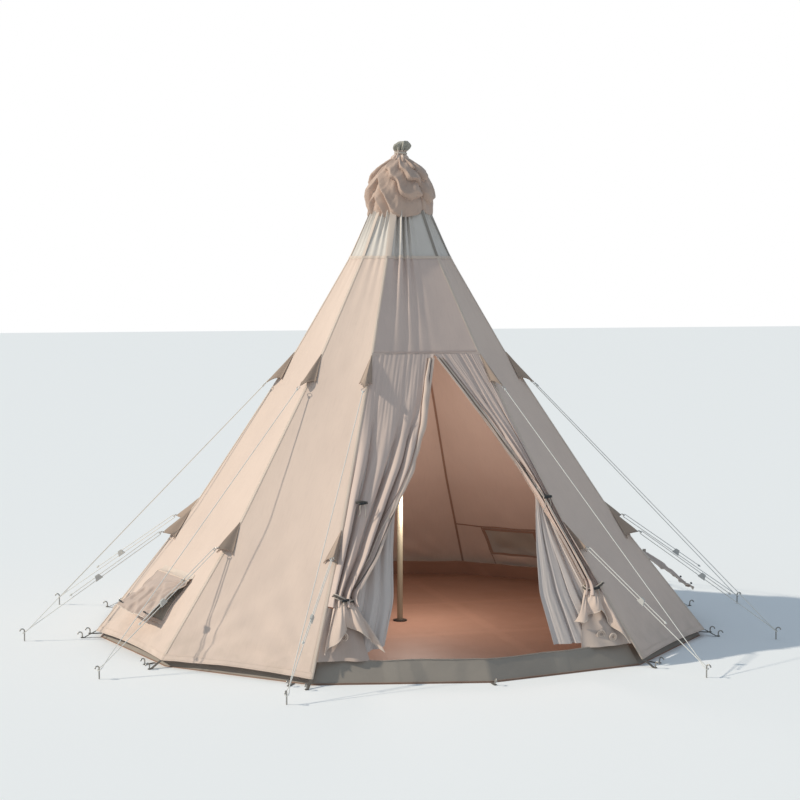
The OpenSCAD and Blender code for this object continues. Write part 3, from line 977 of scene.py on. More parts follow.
class NodeGroup:
    """A Geometry Nodes tree being written, with named inputs for its sizes."""

    def __init__(self, name: str) -> None:
        """Makes a tree that takes and gives a mesh."""
        self.tree = bpy.data.node_groups.new(name, "GeometryNodeTree")
        self.tree.interface.new_socket("Geometry", in_out="INPUT", socket_type="NodeSocketGeometry")
        self.tree.interface.new_socket("Geometry", in_out="OUTPUT", socket_type="NodeSocketGeometry")
        self._given = self.tree.nodes.new("NodeGroupInput")
        self._taken = self.tree.nodes.new("NodeGroupOutput")
        self._keys: dict[str, str] = {}

    def size(self, name: str, value: float) -> bpy.types.NodeSocket:
        """Adds a named size and returns its socket."""
        made = self.tree.interface.new_socket(name, in_out="INPUT", socket_type="NodeSocketFloat")
        made.default_value = value
        self._keys[name] = made.identifier
        return self._given.outputs[name]

    @property
    def geometry(self) -> bpy.types.NodeSocket:
        """Returns the mesh that goes in."""
        return self._given.outputs["Geometry"]

    def node(
        self, kind: str, settings: dict | None = None, output: int | str = 0, **values: object
    ) -> bpy.types.NodeSocket:
        """Adds a node.

        Args:
            kind: The node's type.
            settings: The node's own settings, which are set first.
            output: The output that is returned.
            values: Values or links for its sockets, with spaces written as underscores.

        Returns:
            The chosen output.
        """
        made = self.tree.nodes.new(kind)
        for key, value in (settings or {}).items():
            setattr(made, key, value)
        for key, value in values.items():
            socket = named_socket(made, key)
            if isinstance(value, bpy.types.NodeSocket):
                self.tree.links.new(value, socket)
            else:
                socket.default_value = value
        return made.outputs[output]

    def finish(self, last: bpy.types.NodeSocket) -> None:
        """Sends the result out."""
        self.tree.links.new(last, self._taken.inputs[0])

    def grow(self, seed: bpy.types.Object, sizes: dict[str, float]) -> bpy.types.Mesh:
        """Runs the tree on an object and returns the plain mesh that comes out.

        Args:
            seed: The object whose mesh goes in; it is removed.
            sizes: Values for the named sizes.

        Returns:
            The mesh.
        """
        modifier = seed.modifiers.new("grow", "NODES")
        modifier.node_group = self.tree
        for name, value in sizes.items():
            modifier[self._keys[name]] = value
        ready = bpy.context.evaluated_depsgraph_get()
        mesh = bpy.data.meshes.new_from_object(seed.evaluated_get(ready))
        seed.modifiers.clear()
        bpy.data.objects.remove(seed)
        return mesh


@dataclass
class Stitching:
    """Sewn lines: short stitches that lie along each line at an even spacing."""

    name: str
    spacing: float = 0.011
    stitch: float = 0.0072
    thread: float = 0.0011
    finish: Finish = Finish.STITCH
    _points: list[Array] = field(default_factory=list)
    _normals: list[Array] = field(default_factory=list)

    def line(self, points: Array, normals: Array) -> None:
        """Adds a line to sew along, with the way out of the cloth at each point."""
        self._points.append(points)
        self._normals.append(normals)

    def along(self, surface: Callable[[float], Array]) -> None:
        """Adds a line that lies on a surface, given its points at a lift out of the cloth."""
        low, high = surface(0.0), surface(0.01)
        self.line(surface(0.0012), (high - low) * 100.0)

    def build(self, slot: str, body: str = "root") -> bpy.types.Object:
        """Sews all the lines."""
        edges, start = [], 0
        for points in self._points:
            edges.extend((start + i, start + i + 1) for i in range(len(points) - 1))
            start += len(points)
        mesh = bpy.data.meshes.new(self.name + "_lines")
        mesh.from_pydata(np.concatenate(self._points).tolist(), edges, [])
        way = mesh.attributes.new("way_out", "FLOAT_VECTOR", "POINT")
        way.data.foreach_set("vector", np.concatenate(self._normals).astype(np.float32).ravel())
        seed = show(mesh.name, mesh)
        group = NodeGroup(self.name + "_group")
        spacing = group.size("Spacing", self.spacing)
        length = group.size("Stitch length", self.stitch)
        width = group.size("Thread width", self.thread)
        curve = group.node("GeometryNodeMeshToCurve", Mesh=group.geometry)
        curve = group.node("GeometryNodeResampleCurve", {"mode": "LENGTH"}, Curve=curve, Length=spacing)
        tangent = group.node("GeometryNodeInputTangent")
        out = group.node("GeometryNodeInputNamedAttribute", {"data_type": "FLOAT_VECTOR"}, Name="way_out")
        turn = group.node(
            "FunctionNodeAxesToRotation", {"primary_axis": "X", "secondary_axis": "Z"},
            Primary_Axis=tangent, Secondary_Axis=out,
        )
        size = group.node("ShaderNodeCombineXYZ", X=length, Y=width, Z=width)
        cube = group.node("GeometryNodeMeshCube", Size=size)
        placed = group.node("GeometryNodeInstanceOnPoints", Points=curve, Instance=cube, Rotation=turn)
        real = group.node("GeometryNodeRealizeInstances", Geometry=placed)
        dressed = group.node(
            "GeometryNodeSetMaterial", Geometry=real, Material=WARDROBE.material(self.finish)
        )
        group.finish(dressed)
        grown = group.grow(seed, {
            "Spacing": self.spacing, "Stitch length": self.stitch, "Thread width": self.thread,
        })
        grown.name = self.name
        return settle(show(self.name, grown), slot, body)


# ---------------------------------------------------------------- canopy trims


@dataclass
class Trims:
    """Ridge tapes, seams and the hem band, with their sewing."""

    skin: Skin
    canopy: Canopy
    tape_half: float = 0.011
    tape: float = 0.0014
    hem_band: float = 0.032
    seam_half: float = 0.009
    inner_half: float = 0.009

    def _ridge_strip(self, ridge: int, half: float, lift: float, z: Array, inside: bool = False) -> Array:
        """Returns the points of a tape bent over a ridge."""
        before = (ridge - 1) % self.skin.ridges
        after = ridge % self.skin.ridges
        columns = []
        for face, side in ((before, 1), (after, -1)):
            wide = self.skin.half_width(face, z)
            offsets = (half, half * 0.5) if side > 0 else (half * 0.5, half)
            here = [self.skin.point(face, side * (1 - off / wide), z, lift) for off in offsets]
            columns.append(here)
        crest_a = self.skin.point(before, np.ones_like(z), z, lift)
        crest_b = self.skin.point(after, -np.ones_like(z), z, lift)
        grid = np.stack([*columns[0], (crest_a + crest_b) / 2, *columns[1]], axis=1)
        return grid[:, ::-1] if inside else grid

    def build(self) -> None:
        """Sews every tape and band onto the skin."""
        skin = self.skin
        z = np.concatenate([np.linspace(skin.hem, 1.8, 60), np.linspace(1.8, skin.net_low, 20)[1:]])
        outside, inside, sewing = Weaver("ridge_tapes"), Weaver("inner_tapes"), Stitching("ridge_stitches")
        for ridge in range(1, skin.ridges + 1):
            outer = self._ridge_strip(ridge, self.tape_half, self.tape + 0.0004, z)
            outside.shell(outer, self.tape, Finish.TAPE)
            lining = -(self.canopy.cloth + 0.0022)
            inside.shell(
                self._ridge_strip(ridge, self.inner_half, lining, z, True), self.tape, Finish.DARK_TAPE
            )
            for face, side in (((ridge - 1) % skin.ridges, 1), (ridge % skin.ridges, -1)):
                wide = skin.half_width(face, z)
                u = side * (1 - (self.tape_half - 0.004) / wide)
                sewing.along(lambda lift, f=face, u=u: skin.point(f, u, z, lift + self.tape))
        outside.build("canvas")
        inside.build("canvas")
        sewing.build("canvas")
        self._bands()

    def _bands(self) -> None:
        """Sews the hem band, the header's seam and the net's seam."""
        skin, bands, sewing = self.skin, Weaver("hem_bands"), Stitching("hem_stitches")
        for face in range(1, skin.ridges):
            u = np.linspace(-1, 1, 37)
            z = np.linspace(skin.hem + 0.0005, skin.hem + self.hem_band, 4)
            grid = skin.point(face, u[None, :], z[:, None], 0.0019)
            bands.shell(grid, 0.0017, Finish.CANVAS)
            for height in (skin.hem + 0.006, skin.hem + self.hem_band - 0.005):
                level = np.full_like(u, height)
                sewing.along(lambda lift, f=face, h=level: skin.point(f, u, h, lift + 0.0016))
        for face in range(0, skin.ridges):
            u = np.linspace(-1, 1, 49 if face == 0 else 25)
            z = np.linspace(skin.net_low - 0.013, skin.net_low + 0.004, 4)
            bands.shell(skin.point(face, u[None, :], z[:, None], 0.0024), 0.0020, Finish.TAPE)
            level = np.full_like(u, skin.net_low - 0.005)
            sewing.along(lambda lift, f=face, u=u, h=level: skin.point(f, u, h, lift + 0.0021))
        u = np.linspace(-1, 1, 65)
        z = np.linspace(skin.header - self.seam_half, skin.header + self.seam_half, 4)
        bands.shell(skin.point(0, u[None, :], z[:, None], 0.0028), 0.0024, Finish.FACING)
        for height in (skin.header - 0.005, skin.header + 0.005):
            sewing.along(lambda lift, h=height: skin.point(0, u, np.full_like(u, h), lift + 0.0025))
        bands.build("canvas")
        sewing.build("canvas")


@dataclass
class VentNet:
    """The band of netting that closes the gap between the canvas and the cap."""

    skin: Skin
    cloth: float = 0.0012
    flat: tuple[float, float] = (2.05, 0.33)

    def build(self) -> bpy.types.Object:
        """Weaves the net with its upright folds."""
        skin = self.skin
        v = np.linspace(0, 1, 22)
        z = skin.net_low - 0.006 + v * (skin.net_high - skin.net_low + 0.012)
        ripple = Ripples(5, 10, 0.03, 0.12, 0.25)
        parts = []
        for face in (*range(1, skin.ridges), 0):
            count = 48 if face == 0 else 24
            u = np.linspace(-1, 1, count + 1)[:-1]
            inside = (1 - u * u)[None, :] ** 0.5
            x = u[None, :] * skin.half_width(face, z)[:, None]
            folds = (0.0046 if face == 0 else 0.0022) * ripple(x + 0.7 * face, 0.3 * z[:, None]) * inside
            folds = folds * (0.35 + 0.65 * v[:, None])
            if face == 0:
                folds = folds * (0.25 + np.exp(-((u[None, :] + 0.45) / 0.45) ** 2))
            grid = skin.point(face, u[None, :], z[:, None], folds - 0.002)
            parts.append(grid)
        weaver = Weaver("vent_net_band")
        weaver.shell(np.concatenate(parts, axis=1), self.cloth, Finish.VENT_NET, closed=True)
        net = weaver.build("vent_mesh", replaces=["vent_net"], crisp=70.0)
        self.flat[0] * self.flat[1] * 0.8
        self._tapes()
        return net

    def _tapes(self) -> None:
        """Sews the ridges' tapes on over the net, dark as painted shade on the side away from the sun, and a
        wider one at the left of the door.
        """
        skin, tapes = self.skin, Weaver("net_tapes")
        z = np.linspace(skin.net_low, skin.net_high + 0.004, 12)
        for ridge in range(1, skin.ridges + 1):
            before, after = (ridge - 1) % skin.ridges, ridge % skin.ridges
            columns = []
            for face, side in ((before, 1), (after, -1)):
                wide = skin.half_width(face, z)
                half = 0.028 if ridge == skin.ridges and face == 0 else 0.011
                columns.append(skin.point(face, side * (1 - half / wide), z, 0.0028))
            end = np.ones_like(z)
            crest = (skin.point(before, end, z, 0.0028) + skin.point(after, -end, z, 0.0028)) / 2
            # Painted shade: the tapes on ridges 1 to 6, on the side away from the sun, are dark, and those on
            # the sunlit side are light.
            finish = Finish.TAPE if ridge > 6 else Finish.SILL_AND_PAINTED_SHADE
            tapes.shell(np.stack([columns[0], crest, columns[1]], axis=1), 0.0016, finish)
        tapes.build("vent_mesh")


@dataclass
class Cap:
    """The gathered cap: swags of canvas that hang between anchors and close round a tuft."""

    low: float = 2.701
    height: float = 0.35
    radius: float = 0.222
    profile: tuple[Level, ...] = (
        (0.0, 0.93), (0.2, 0.99), (0.45, 0.95), (0.68, 0.84), (0.85, 0.62), (0.95, 0.40), (1.0, 0.29),
    )
    anchors: tuple[float, ...] = (-72.0, 34.0, 112.0, 200.0)
    folds: tuple[float, ...] = (3.3, 3.0, 3.0, 3.0)
    droop: float = 0.30
    depth: float = 0.026
    cloth: float = 0.003
    flat: tuple[float, float] = (1.75, 0.62)

    def _surface(self, v: Array, turn: Array) -> Array:
        """Returns the cap's cloth.

        Args:
            v: The height, from 0 at the hem to 1 at the neck.
            turn: The angles round the pole.

        Returns:
            The points, in rows round the cap.
        """
        anchors = np.radians(np.array(self.anchors))
        gaps = np.diff(np.append(anchors, anchors[0] + 2 * math.pi))
        v = v[:, None]
        place = (turn - anchors[0]) % (2 * math.pi)
        edges = np.append(0.0, np.cumsum(gaps))
        lobe = np.clip(np.searchsorted(edges, place, side="right") - 1, 0, len(gaps) - 1)
        q = np.clip((place - edges[lobe]) / gaps[lobe], 0, 1)
        hang = (4 * q * (1 - q)) ** 0.8
        tilt = np.array([0.75, -0.45, 0.50, -0.50])[lobe] * (q - 0.5)
        s = v + self.droop * hang * (0.25 + 0.75 * (1 - v)) + tilt
        count = np.array(self.folds)[lobe]
        bend = Ripples(12, 7, 0.10, 0.45, 0.8)(0.25 * turn + 0 * v, 0.5 * v + 0 * turn)
        phase = count * s + 0.31 * lobe + 0.35 * bend
        swag = (1 - np.abs(2 * (phase % 1.0) ** 0.50 - 1) ** 1.1) * 2 - 1
        crossing = 1.7 * v - 2.1 * q - 0.9 * tilt + 0.4 * bend + 0.37 * lobe
        ridge = 1 - np.abs(2 * (crossing % 1.0) - 1) ** 0.8
        calm = np.sin(math.pi * np.clip(v * 0.90 + 0.08, 0, 1)) ** 0.6
        out = calm * (self.depth * swag * (0.55 + 0.45 * hang) + 0.007 * (ridge - 0.4))
        seam = np.minimum(q, 1 - q) * gaps[lobe]
        out = out - 0.022 * np.exp(-(seam / 0.10) ** 2) * calm + 0.006 * hang * calm
        small = Ripples(8, 12, 0.02, 0.09, 1.2)
        out = out + 0.0022 * small(0.2 * turn + 0 * v, 0.35 * v + 0 * turn)
        base = follow(self.profile, v, 0.04) * self.radius
        radius = base - 0.012 + out
        rise = self.low + self.height * v - 0.030 * np.sin(turn) * (1 - v) * v
        rise = rise - 0.035 * hang * (1 - v) ** 2 + 0.012 * np.cos(turn - 2.0) * (1 - v)
        rise = np.maximum(rise, self.low - 0.038) + 0.012 * (1 - hang) * v * (1 - v)
        return round_pole(radius, turn, rise)

    def build(self) -> None:
        """Sews the cap and its tuft."""
        turn = np.linspace(-math.pi, math.pi, 300, endpoint=False)
        weaver = Weaver("vent_cap_swags")
        grid = self._surface(np.linspace(0, 1, 84), turn)
        weaver.shell(grid, self.cloth, Finish.CAP, Finish.LINING, closed=True)
        cap = weaver.build("cap_canvas", replaces=["vent_cap"], crisp=75.0)
        self.flat[0] * self.flat[1] * 0.62
        self._tuft()

    def _tuft(self) -> None:
        """Bunches the cloth that stands out of the cap's neck."""
        v = np.linspace(0, 1, 46)[:, None]
        turn = np.linspace(-math.pi, math.pi, 120, endpoint=False)[None, :]
        levels = (
            (0.0, 0.058), (0.16, 0.050), (0.30, 0.033), (0.42, 0.031), (0.62, 0.046), (0.82, 0.052),
            (0.95, 0.036), (1.0, 0.006),
        )
        radius = follow(levels, v, 0.03)
        pleats = 0.20 * np.sin(9 * turn + 3.0 * v) + 0.11 * np.sin(16 * turn - 5 * v + 1.0)
        radius = radius * (1 + pleats * np.sin(math.pi * np.clip(v, 0.05, 1)) ** 0.4)
        lean = 0.020 * smooth(v, 0.3, 1.0)
        squash = 1.0 - 0.22 * smooth(v, 0.4, 0.8)
        low = self.low + self.height - 0.012
        swell = smooth(v, 0.6, 1.0) * (1 - smooth(v, 0.93, 1.0))
        z = low + 0.122 * v + 0.010 * np.sin(2 * turn + 1.0) * swell
        x = radius * np.sin(turn) + lean
        y = -radius * squash * np.cos(turn) - 0.3 * lean
        tuft = Weaver("cap_tuft_bunch")
        bunch = np.stack([x, y, z + 0 * turn], axis=-1)
        tuft.shell(bunch[:23], 0.0016, Finish.CANVAS, closed=True)
        tuft.shell(bunch[22:], 0.0016, Finish.TUFT, closed=True)
        turns = circle(28)
        for level, bigger in ((0.33, 1.18), (0.385, 1.2)):
            ring = np.stack([
                0.0335 * bigger * np.sin(turns) + 0.004, -0.0335 * bigger * np.cos(turns),
                low + 0.122 * level + 0.003 * np.sin(turns + level * 9),
            ], axis=-1)
            tuft.tube(ring, 0.0032, Finish.CORD_TIE, 8, closed=True)
        tuft.build("tuft_cloth", replaces=["cap_tuft"], crisp=60.0)


# ---------------------------------------------------------------- guys


@dataclass
class Hoods:
    """The gussets that stand out of each ridge and hold the rope rings."""

    skin: Skin
    name: str
    node: str
    apex_z: float
    tip: tuple[float, float]
    half_width: float
    corner_z: float
    door_width: float
    cloth: float = 0.0022
    binding: float = 0.0032

    def _surface(self, ridge: int) -> Array:
        """Returns one hood's cloth, in rows from its free edge up to its apex."""
        angle = self.skin.ridge_angle(ridge)
        away = np.linspace(1.0, 0.03, 16)[:, None]
        b = np.linspace(-1, 1, 29)[None, :]
        apex = np.array([float(self.skin.radius(self.apex_z)) + 0.004, 0.0, self.apex_z])
        tip = np.array([self.tip[0], 0.0, self.tip[1]])
        side = np.abs(b) ** 1.25
        corners = []
        for way in (-1, 1):
            on_door = (ridge == 1 and way < 0) or (ridge == self.skin.ridges and way > 0)
            fall = math.tan(math.radians(30 if on_door else 15))
            off = 0.027 if on_door else 0.004
            wide = self.door_width if on_door else self.half_width
            reach = float(self.skin.radius(self.corner_z)) - wide * fall + off
            corners.append(np.array([reach, way * wide, self.corner_z]))
        corner = np.where(b[..., None] < 0, corners[0], corners[1])
        end = (1 - side[..., None]) * tip + side[..., None] * corner
        scoop = 1.0 - 0.17 * 4 * side * (1 - side) - 0.30 * side ** 2
        bow = 0.010 * np.sin(2 * math.pi * np.clip(side, 0, 1)) * away
        points = apex + (away * scoop)[..., None] * (end - apex)
        points[..., 0] += bow * (1 - away * 0.3)
        wrinkle = 0.0022 * np.sin(9 * side + 7 * away + ridge) * (1 - side) * away
        points[..., 0] += wrinkle
        return beside(angle, points)

    def build(self) -> bpy.types.Object:
        """Sews all the hoods of a row."""
        weaver = Weaver(self.name)
        for ridge in range(1, self.skin.ridges + 1):
            grid = self._surface(ridge)
            # Painted shade: the cloth and its binding are canvas darkened to stand for the hoods' shaded
            # sides.
            weaver.shell(grid, self.cloth, Finish.HOOD_PAINTED_SHADE)
            weaver.tube(grid[0], self.binding, Finish.HOOD_PAINTED_SHADE, 8)
            tip = grid[0, grid.shape[1] // 2]
            angle = self.skin.ridge_angle(ridge)
            out = beside(angle, [[1.0, 0.0, 0.0]])[0]
            turns = circle(18)
            across = beside(angle, [[0.0, 1.0, 0.0]])[0]
            centre = tip - 0.010 * out + np.array([0, 0, 0.004])
            tilted = np.array([0.6, 0.6, 0.5]) * out
            ring = centre + 0.007 * (np.cos(turns)[:, None] * across + np.sin(turns)[:, None] * tilted)
            weaver.tube(ring, 0.0021, Finish.ZINC, 6, closed=True)
        hoods = weaver.build("hood_canvas", replaces=[self.node], crisp=60.0)
        flat = self._flat()
        flat[0] * flat[1] * 0.36
        return hoods

    def _flat(self) -> tuple[float, float]:
        """Returns the flat size of all the hoods of a row laid side by side."""
        rise = math.hypot(self.tip[0] - float(self.skin.radius(self.apex_z)), self.apex_z - self.corner_z)
        return (self.skin.ridges * 2 * self.half_width * 1.25, rise)


@dataclass
class GuyRopes:
    """One rope at each ridge: hood ring, peg, slider, hood ring, slider and a knotted tail."""

    skin: Skin
    diameter: float = 0.005
    length: float = 3.93
    route: tuple[Triple, ...] = (
        (0.916, 0.0, 1.580), (1.3, 0.0, 1.196), (1.7, 0.0, 0.796), (2.1, 0.0, 0.396), (2.375, 0.0, 0.121),
        (2.410, 0.004, 0.086), (2.432, 0.010, 0.066), (2.447, 0.011, 0.054), (2.455, 0.008, 0.050),
        (2.458, 0.0, 0.048), (2.455, -0.008, 0.050), (2.447, -0.011, 0.054), (2.432, -0.010, 0.064),
        (2.412, -0.004, 0.079), (2.390, 0.0, 0.095), (2.190, 0.0, 0.231), (1.990, 0.0, 0.367),
        (1.790, 0.0, 0.503), (1.590, 0.0, 0.639), (1.586, 0.0, 0.645), (1.587, 0.0, 0.653),
        (1.594, 0.0, 0.657), (1.601, 0.0, 0.655), (1.786, 0.0, 0.529), (1.970, 0.0, 0.404),
        (2.155, 0.0, 0.278),
    )

    def build(self) -> None:
        """Strings every ridge's rope and ties its knots."""
        for ridge in range(1, self.skin.ridges + 1):
            points = beside(self.skin.ridge_angle(ridge), self.route)
            curve = bpy.data.curves.new(f"guy_line_{ridge:02d}", "CURVE")
            curve.dimensions = "3D"
            spline = curve.splines.new("POLY")
            spline.points.add(len(points) - 1)
            for made, point in zip(spline.points, points):
                made.co = (*point, 1.0)
            curve.bevel_depth = self.diameter / 2
            curve.bevel_resolution = 3
            curve.use_fill_caps = True
            curve.materials.append(WARDROBE.material(Finish.ROPE))
            rope = show(curve.name, curve)
            settle(rope, "rope", replaces=[f"guy_rope_{ridge:02d}"])
            knots = self._knots(ridge, points)

    def _knots(self, ridge: int, points: Array) -> bpy.types.Object:
        """Ties the stop knot at the tail and the whipping at the upper ring."""
        weaver = Weaver(f"guy_knots_{ridge:02d}")
        for end, along in ((points[0], points[1] - points[0]), (points[-1], points[-1] - points[-2])):
            along = along / np.linalg.norm(along)
            side = np.cross(along, [0, 0, 1.0])
            side = side / np.linalg.norm(side)
            up = np.cross(side, along)
            turns = np.linspace(0, 3.5 * 2 * math.pi, 64)
            reach = 0.0040 + 0.0004 * np.sin(turns * 0.5)
            spread = (turns / turns[-1] - 0.5) * 0.014
            coil = end + spread[:, None] * along + reach[:, None] * (
                np.cos(turns)[:, None] * side + np.sin(turns)[:, None] * up
            )
            weaver.tube(coil, 0.0024, Finish.ROPE, 7)
            weaver.tube(np.array([end - 0.008 * along, end, end + 0.012 * along]), 0.0025, Finish.ROPE, 8)
        return weaver.build("rope", crisp=80.0)


# ---------------------------------------------------------------- the door


@dataclass
class Drape:
    """A door curtain, tied back to its ridge: canvas with deep pleats, or net with fine ones."""

    skin: Skin
    name: str
    node: str
    side: int
    levels: tuple[Triple, ...]
    front: Finish
    back: Finish
    pleats: float
    flat: tuple[float, float]
    area: float
    slot: str
    seed: int
    jamb: float = 0.022
    lean_back: float = 0.0
    shallow: float = 0.003
    deep: float = 0.040
    fullness: float = 1.0
    forward: float = 0.022
    cloth: float = 0.0016
    hem: tuple[Level, ...] = ((0.0, 0.13), (1.0, 0.13))
    columns: int = 220
    rows: int = 110

    def inner(self, z: Array) -> Array:
        """Returns the inner edge at a height."""
        return follow([(z_, x) for z_, x, _ in self.levels], z, 0.035)

    def gather(self, z: Array) -> Array:
        """Returns how much the cloth is gathered at a height."""
        return np.clip(follow([(z_, g) for z_, _, g in self.levels], z, 0.03), 0.0, 1.0)

    def outer(self, z: Array) -> Array:
        """Returns the edge beside the ridge at a height."""
        return self.side * (self.skin.radius(z) * math.sin(self.skin.door_half) - self.jamb)

    def plane(self, z: Array) -> Array:
        """Returns the door face's place at a height."""
        return -self.skin.radius(z) * math.cos(self.skin.door_half)

    def surface(self, v: Array, z: Array, lift: float = 0.0) -> Array:
        """Returns the curtain's cloth.

        Args:
            v: The place across, from 0 at the ridge to 1 at the inner edge.
            z: The height.
            lift: A distance towards the outside.

        Returns:
            The points.
        """
        v, z = np.broadcast_arrays(np.asarray(v, dtype=float), np.asarray(z, dtype=float))
        gather = self.gather(z)
        ripple = Ripples(self.seed, 9, 0.25, 1.1, 0.9)
        drift = Ripples(self.seed + 40, 6, 0.10, 0.5, 0.5)
        top = smooth(z, 1.05, 1.62)
        phase = 2 * math.pi * self.pleats * (v + 0.10 * ripple(v, 0.5 * z)) + 1.3 * ripple(0.7 * v + 3, z)
        loose = smooth(v, 0.0, 0.10) * (1 - 0.85 * top)
        span = np.abs(self.inner(z) - self.outer(z))
        cut = self.fullness * (np.abs(self.outer(z)) + 0.03)
        needed = np.sqrt(np.maximum(cut ** 2 - span ** 2, 0.0)) / (4 * self.pleats)
        size = (self.shallow + np.minimum(needed, self.deep)) * loose
        size = size * (0.85 + 0.55 * drift(0.9 * v, 0.22 * z))
        pitch = span / self.pleats
        overhang = np.minimum(0.16 * pitch, 0.7 * size)
        x = self.outer(z) + (self.inner(z) - self.outer(z)) * v
        x = x + self.side * overhang * np.cos(phase + 0.4) * smooth(v, 0, 0.08) * (1 - smooth(v, 0.94, 1.0))
        roll = -0.012 * smooth(v, 0.93, 1.0) * (0.4 + 0.6 * gather)
        leaning = fold(phase + 0.55 * self.side * np.cos(phase), 0.25)
        depth = size * leaning + self.forward * gather * smooth(v, 0.0, 0.12)
        fine = 0.0016 * drift(4 * v, z)
        return np.stack([x, self.plane(z) + self.lean_back - depth - fine + roll - lift, z], axis=-1)

    def build(self) -> bpy.types.Object:
        """Hangs the curtain."""
        v = np.linspace(0, 1, self.columns)
        share = np.linspace(0, 1, self.rows)[:, None]
        low = follow(self.hem, v, 0.03)[None, :]
        high = self.levels[0][0] + 0.008
        z = low + (high - low) * share
        grid = self.surface(np.broadcast_to(v, z.shape), z)
        grid = grid if self.side < 0 else grid[:, ::-1]
        weaver = Weaver(self.name)
        weaver.shell(grid, self.cloth, self.front, self.back)
        curtain = weaver.build(self.slot, replaces=[self.node], crisp=75.0)
        return curtain


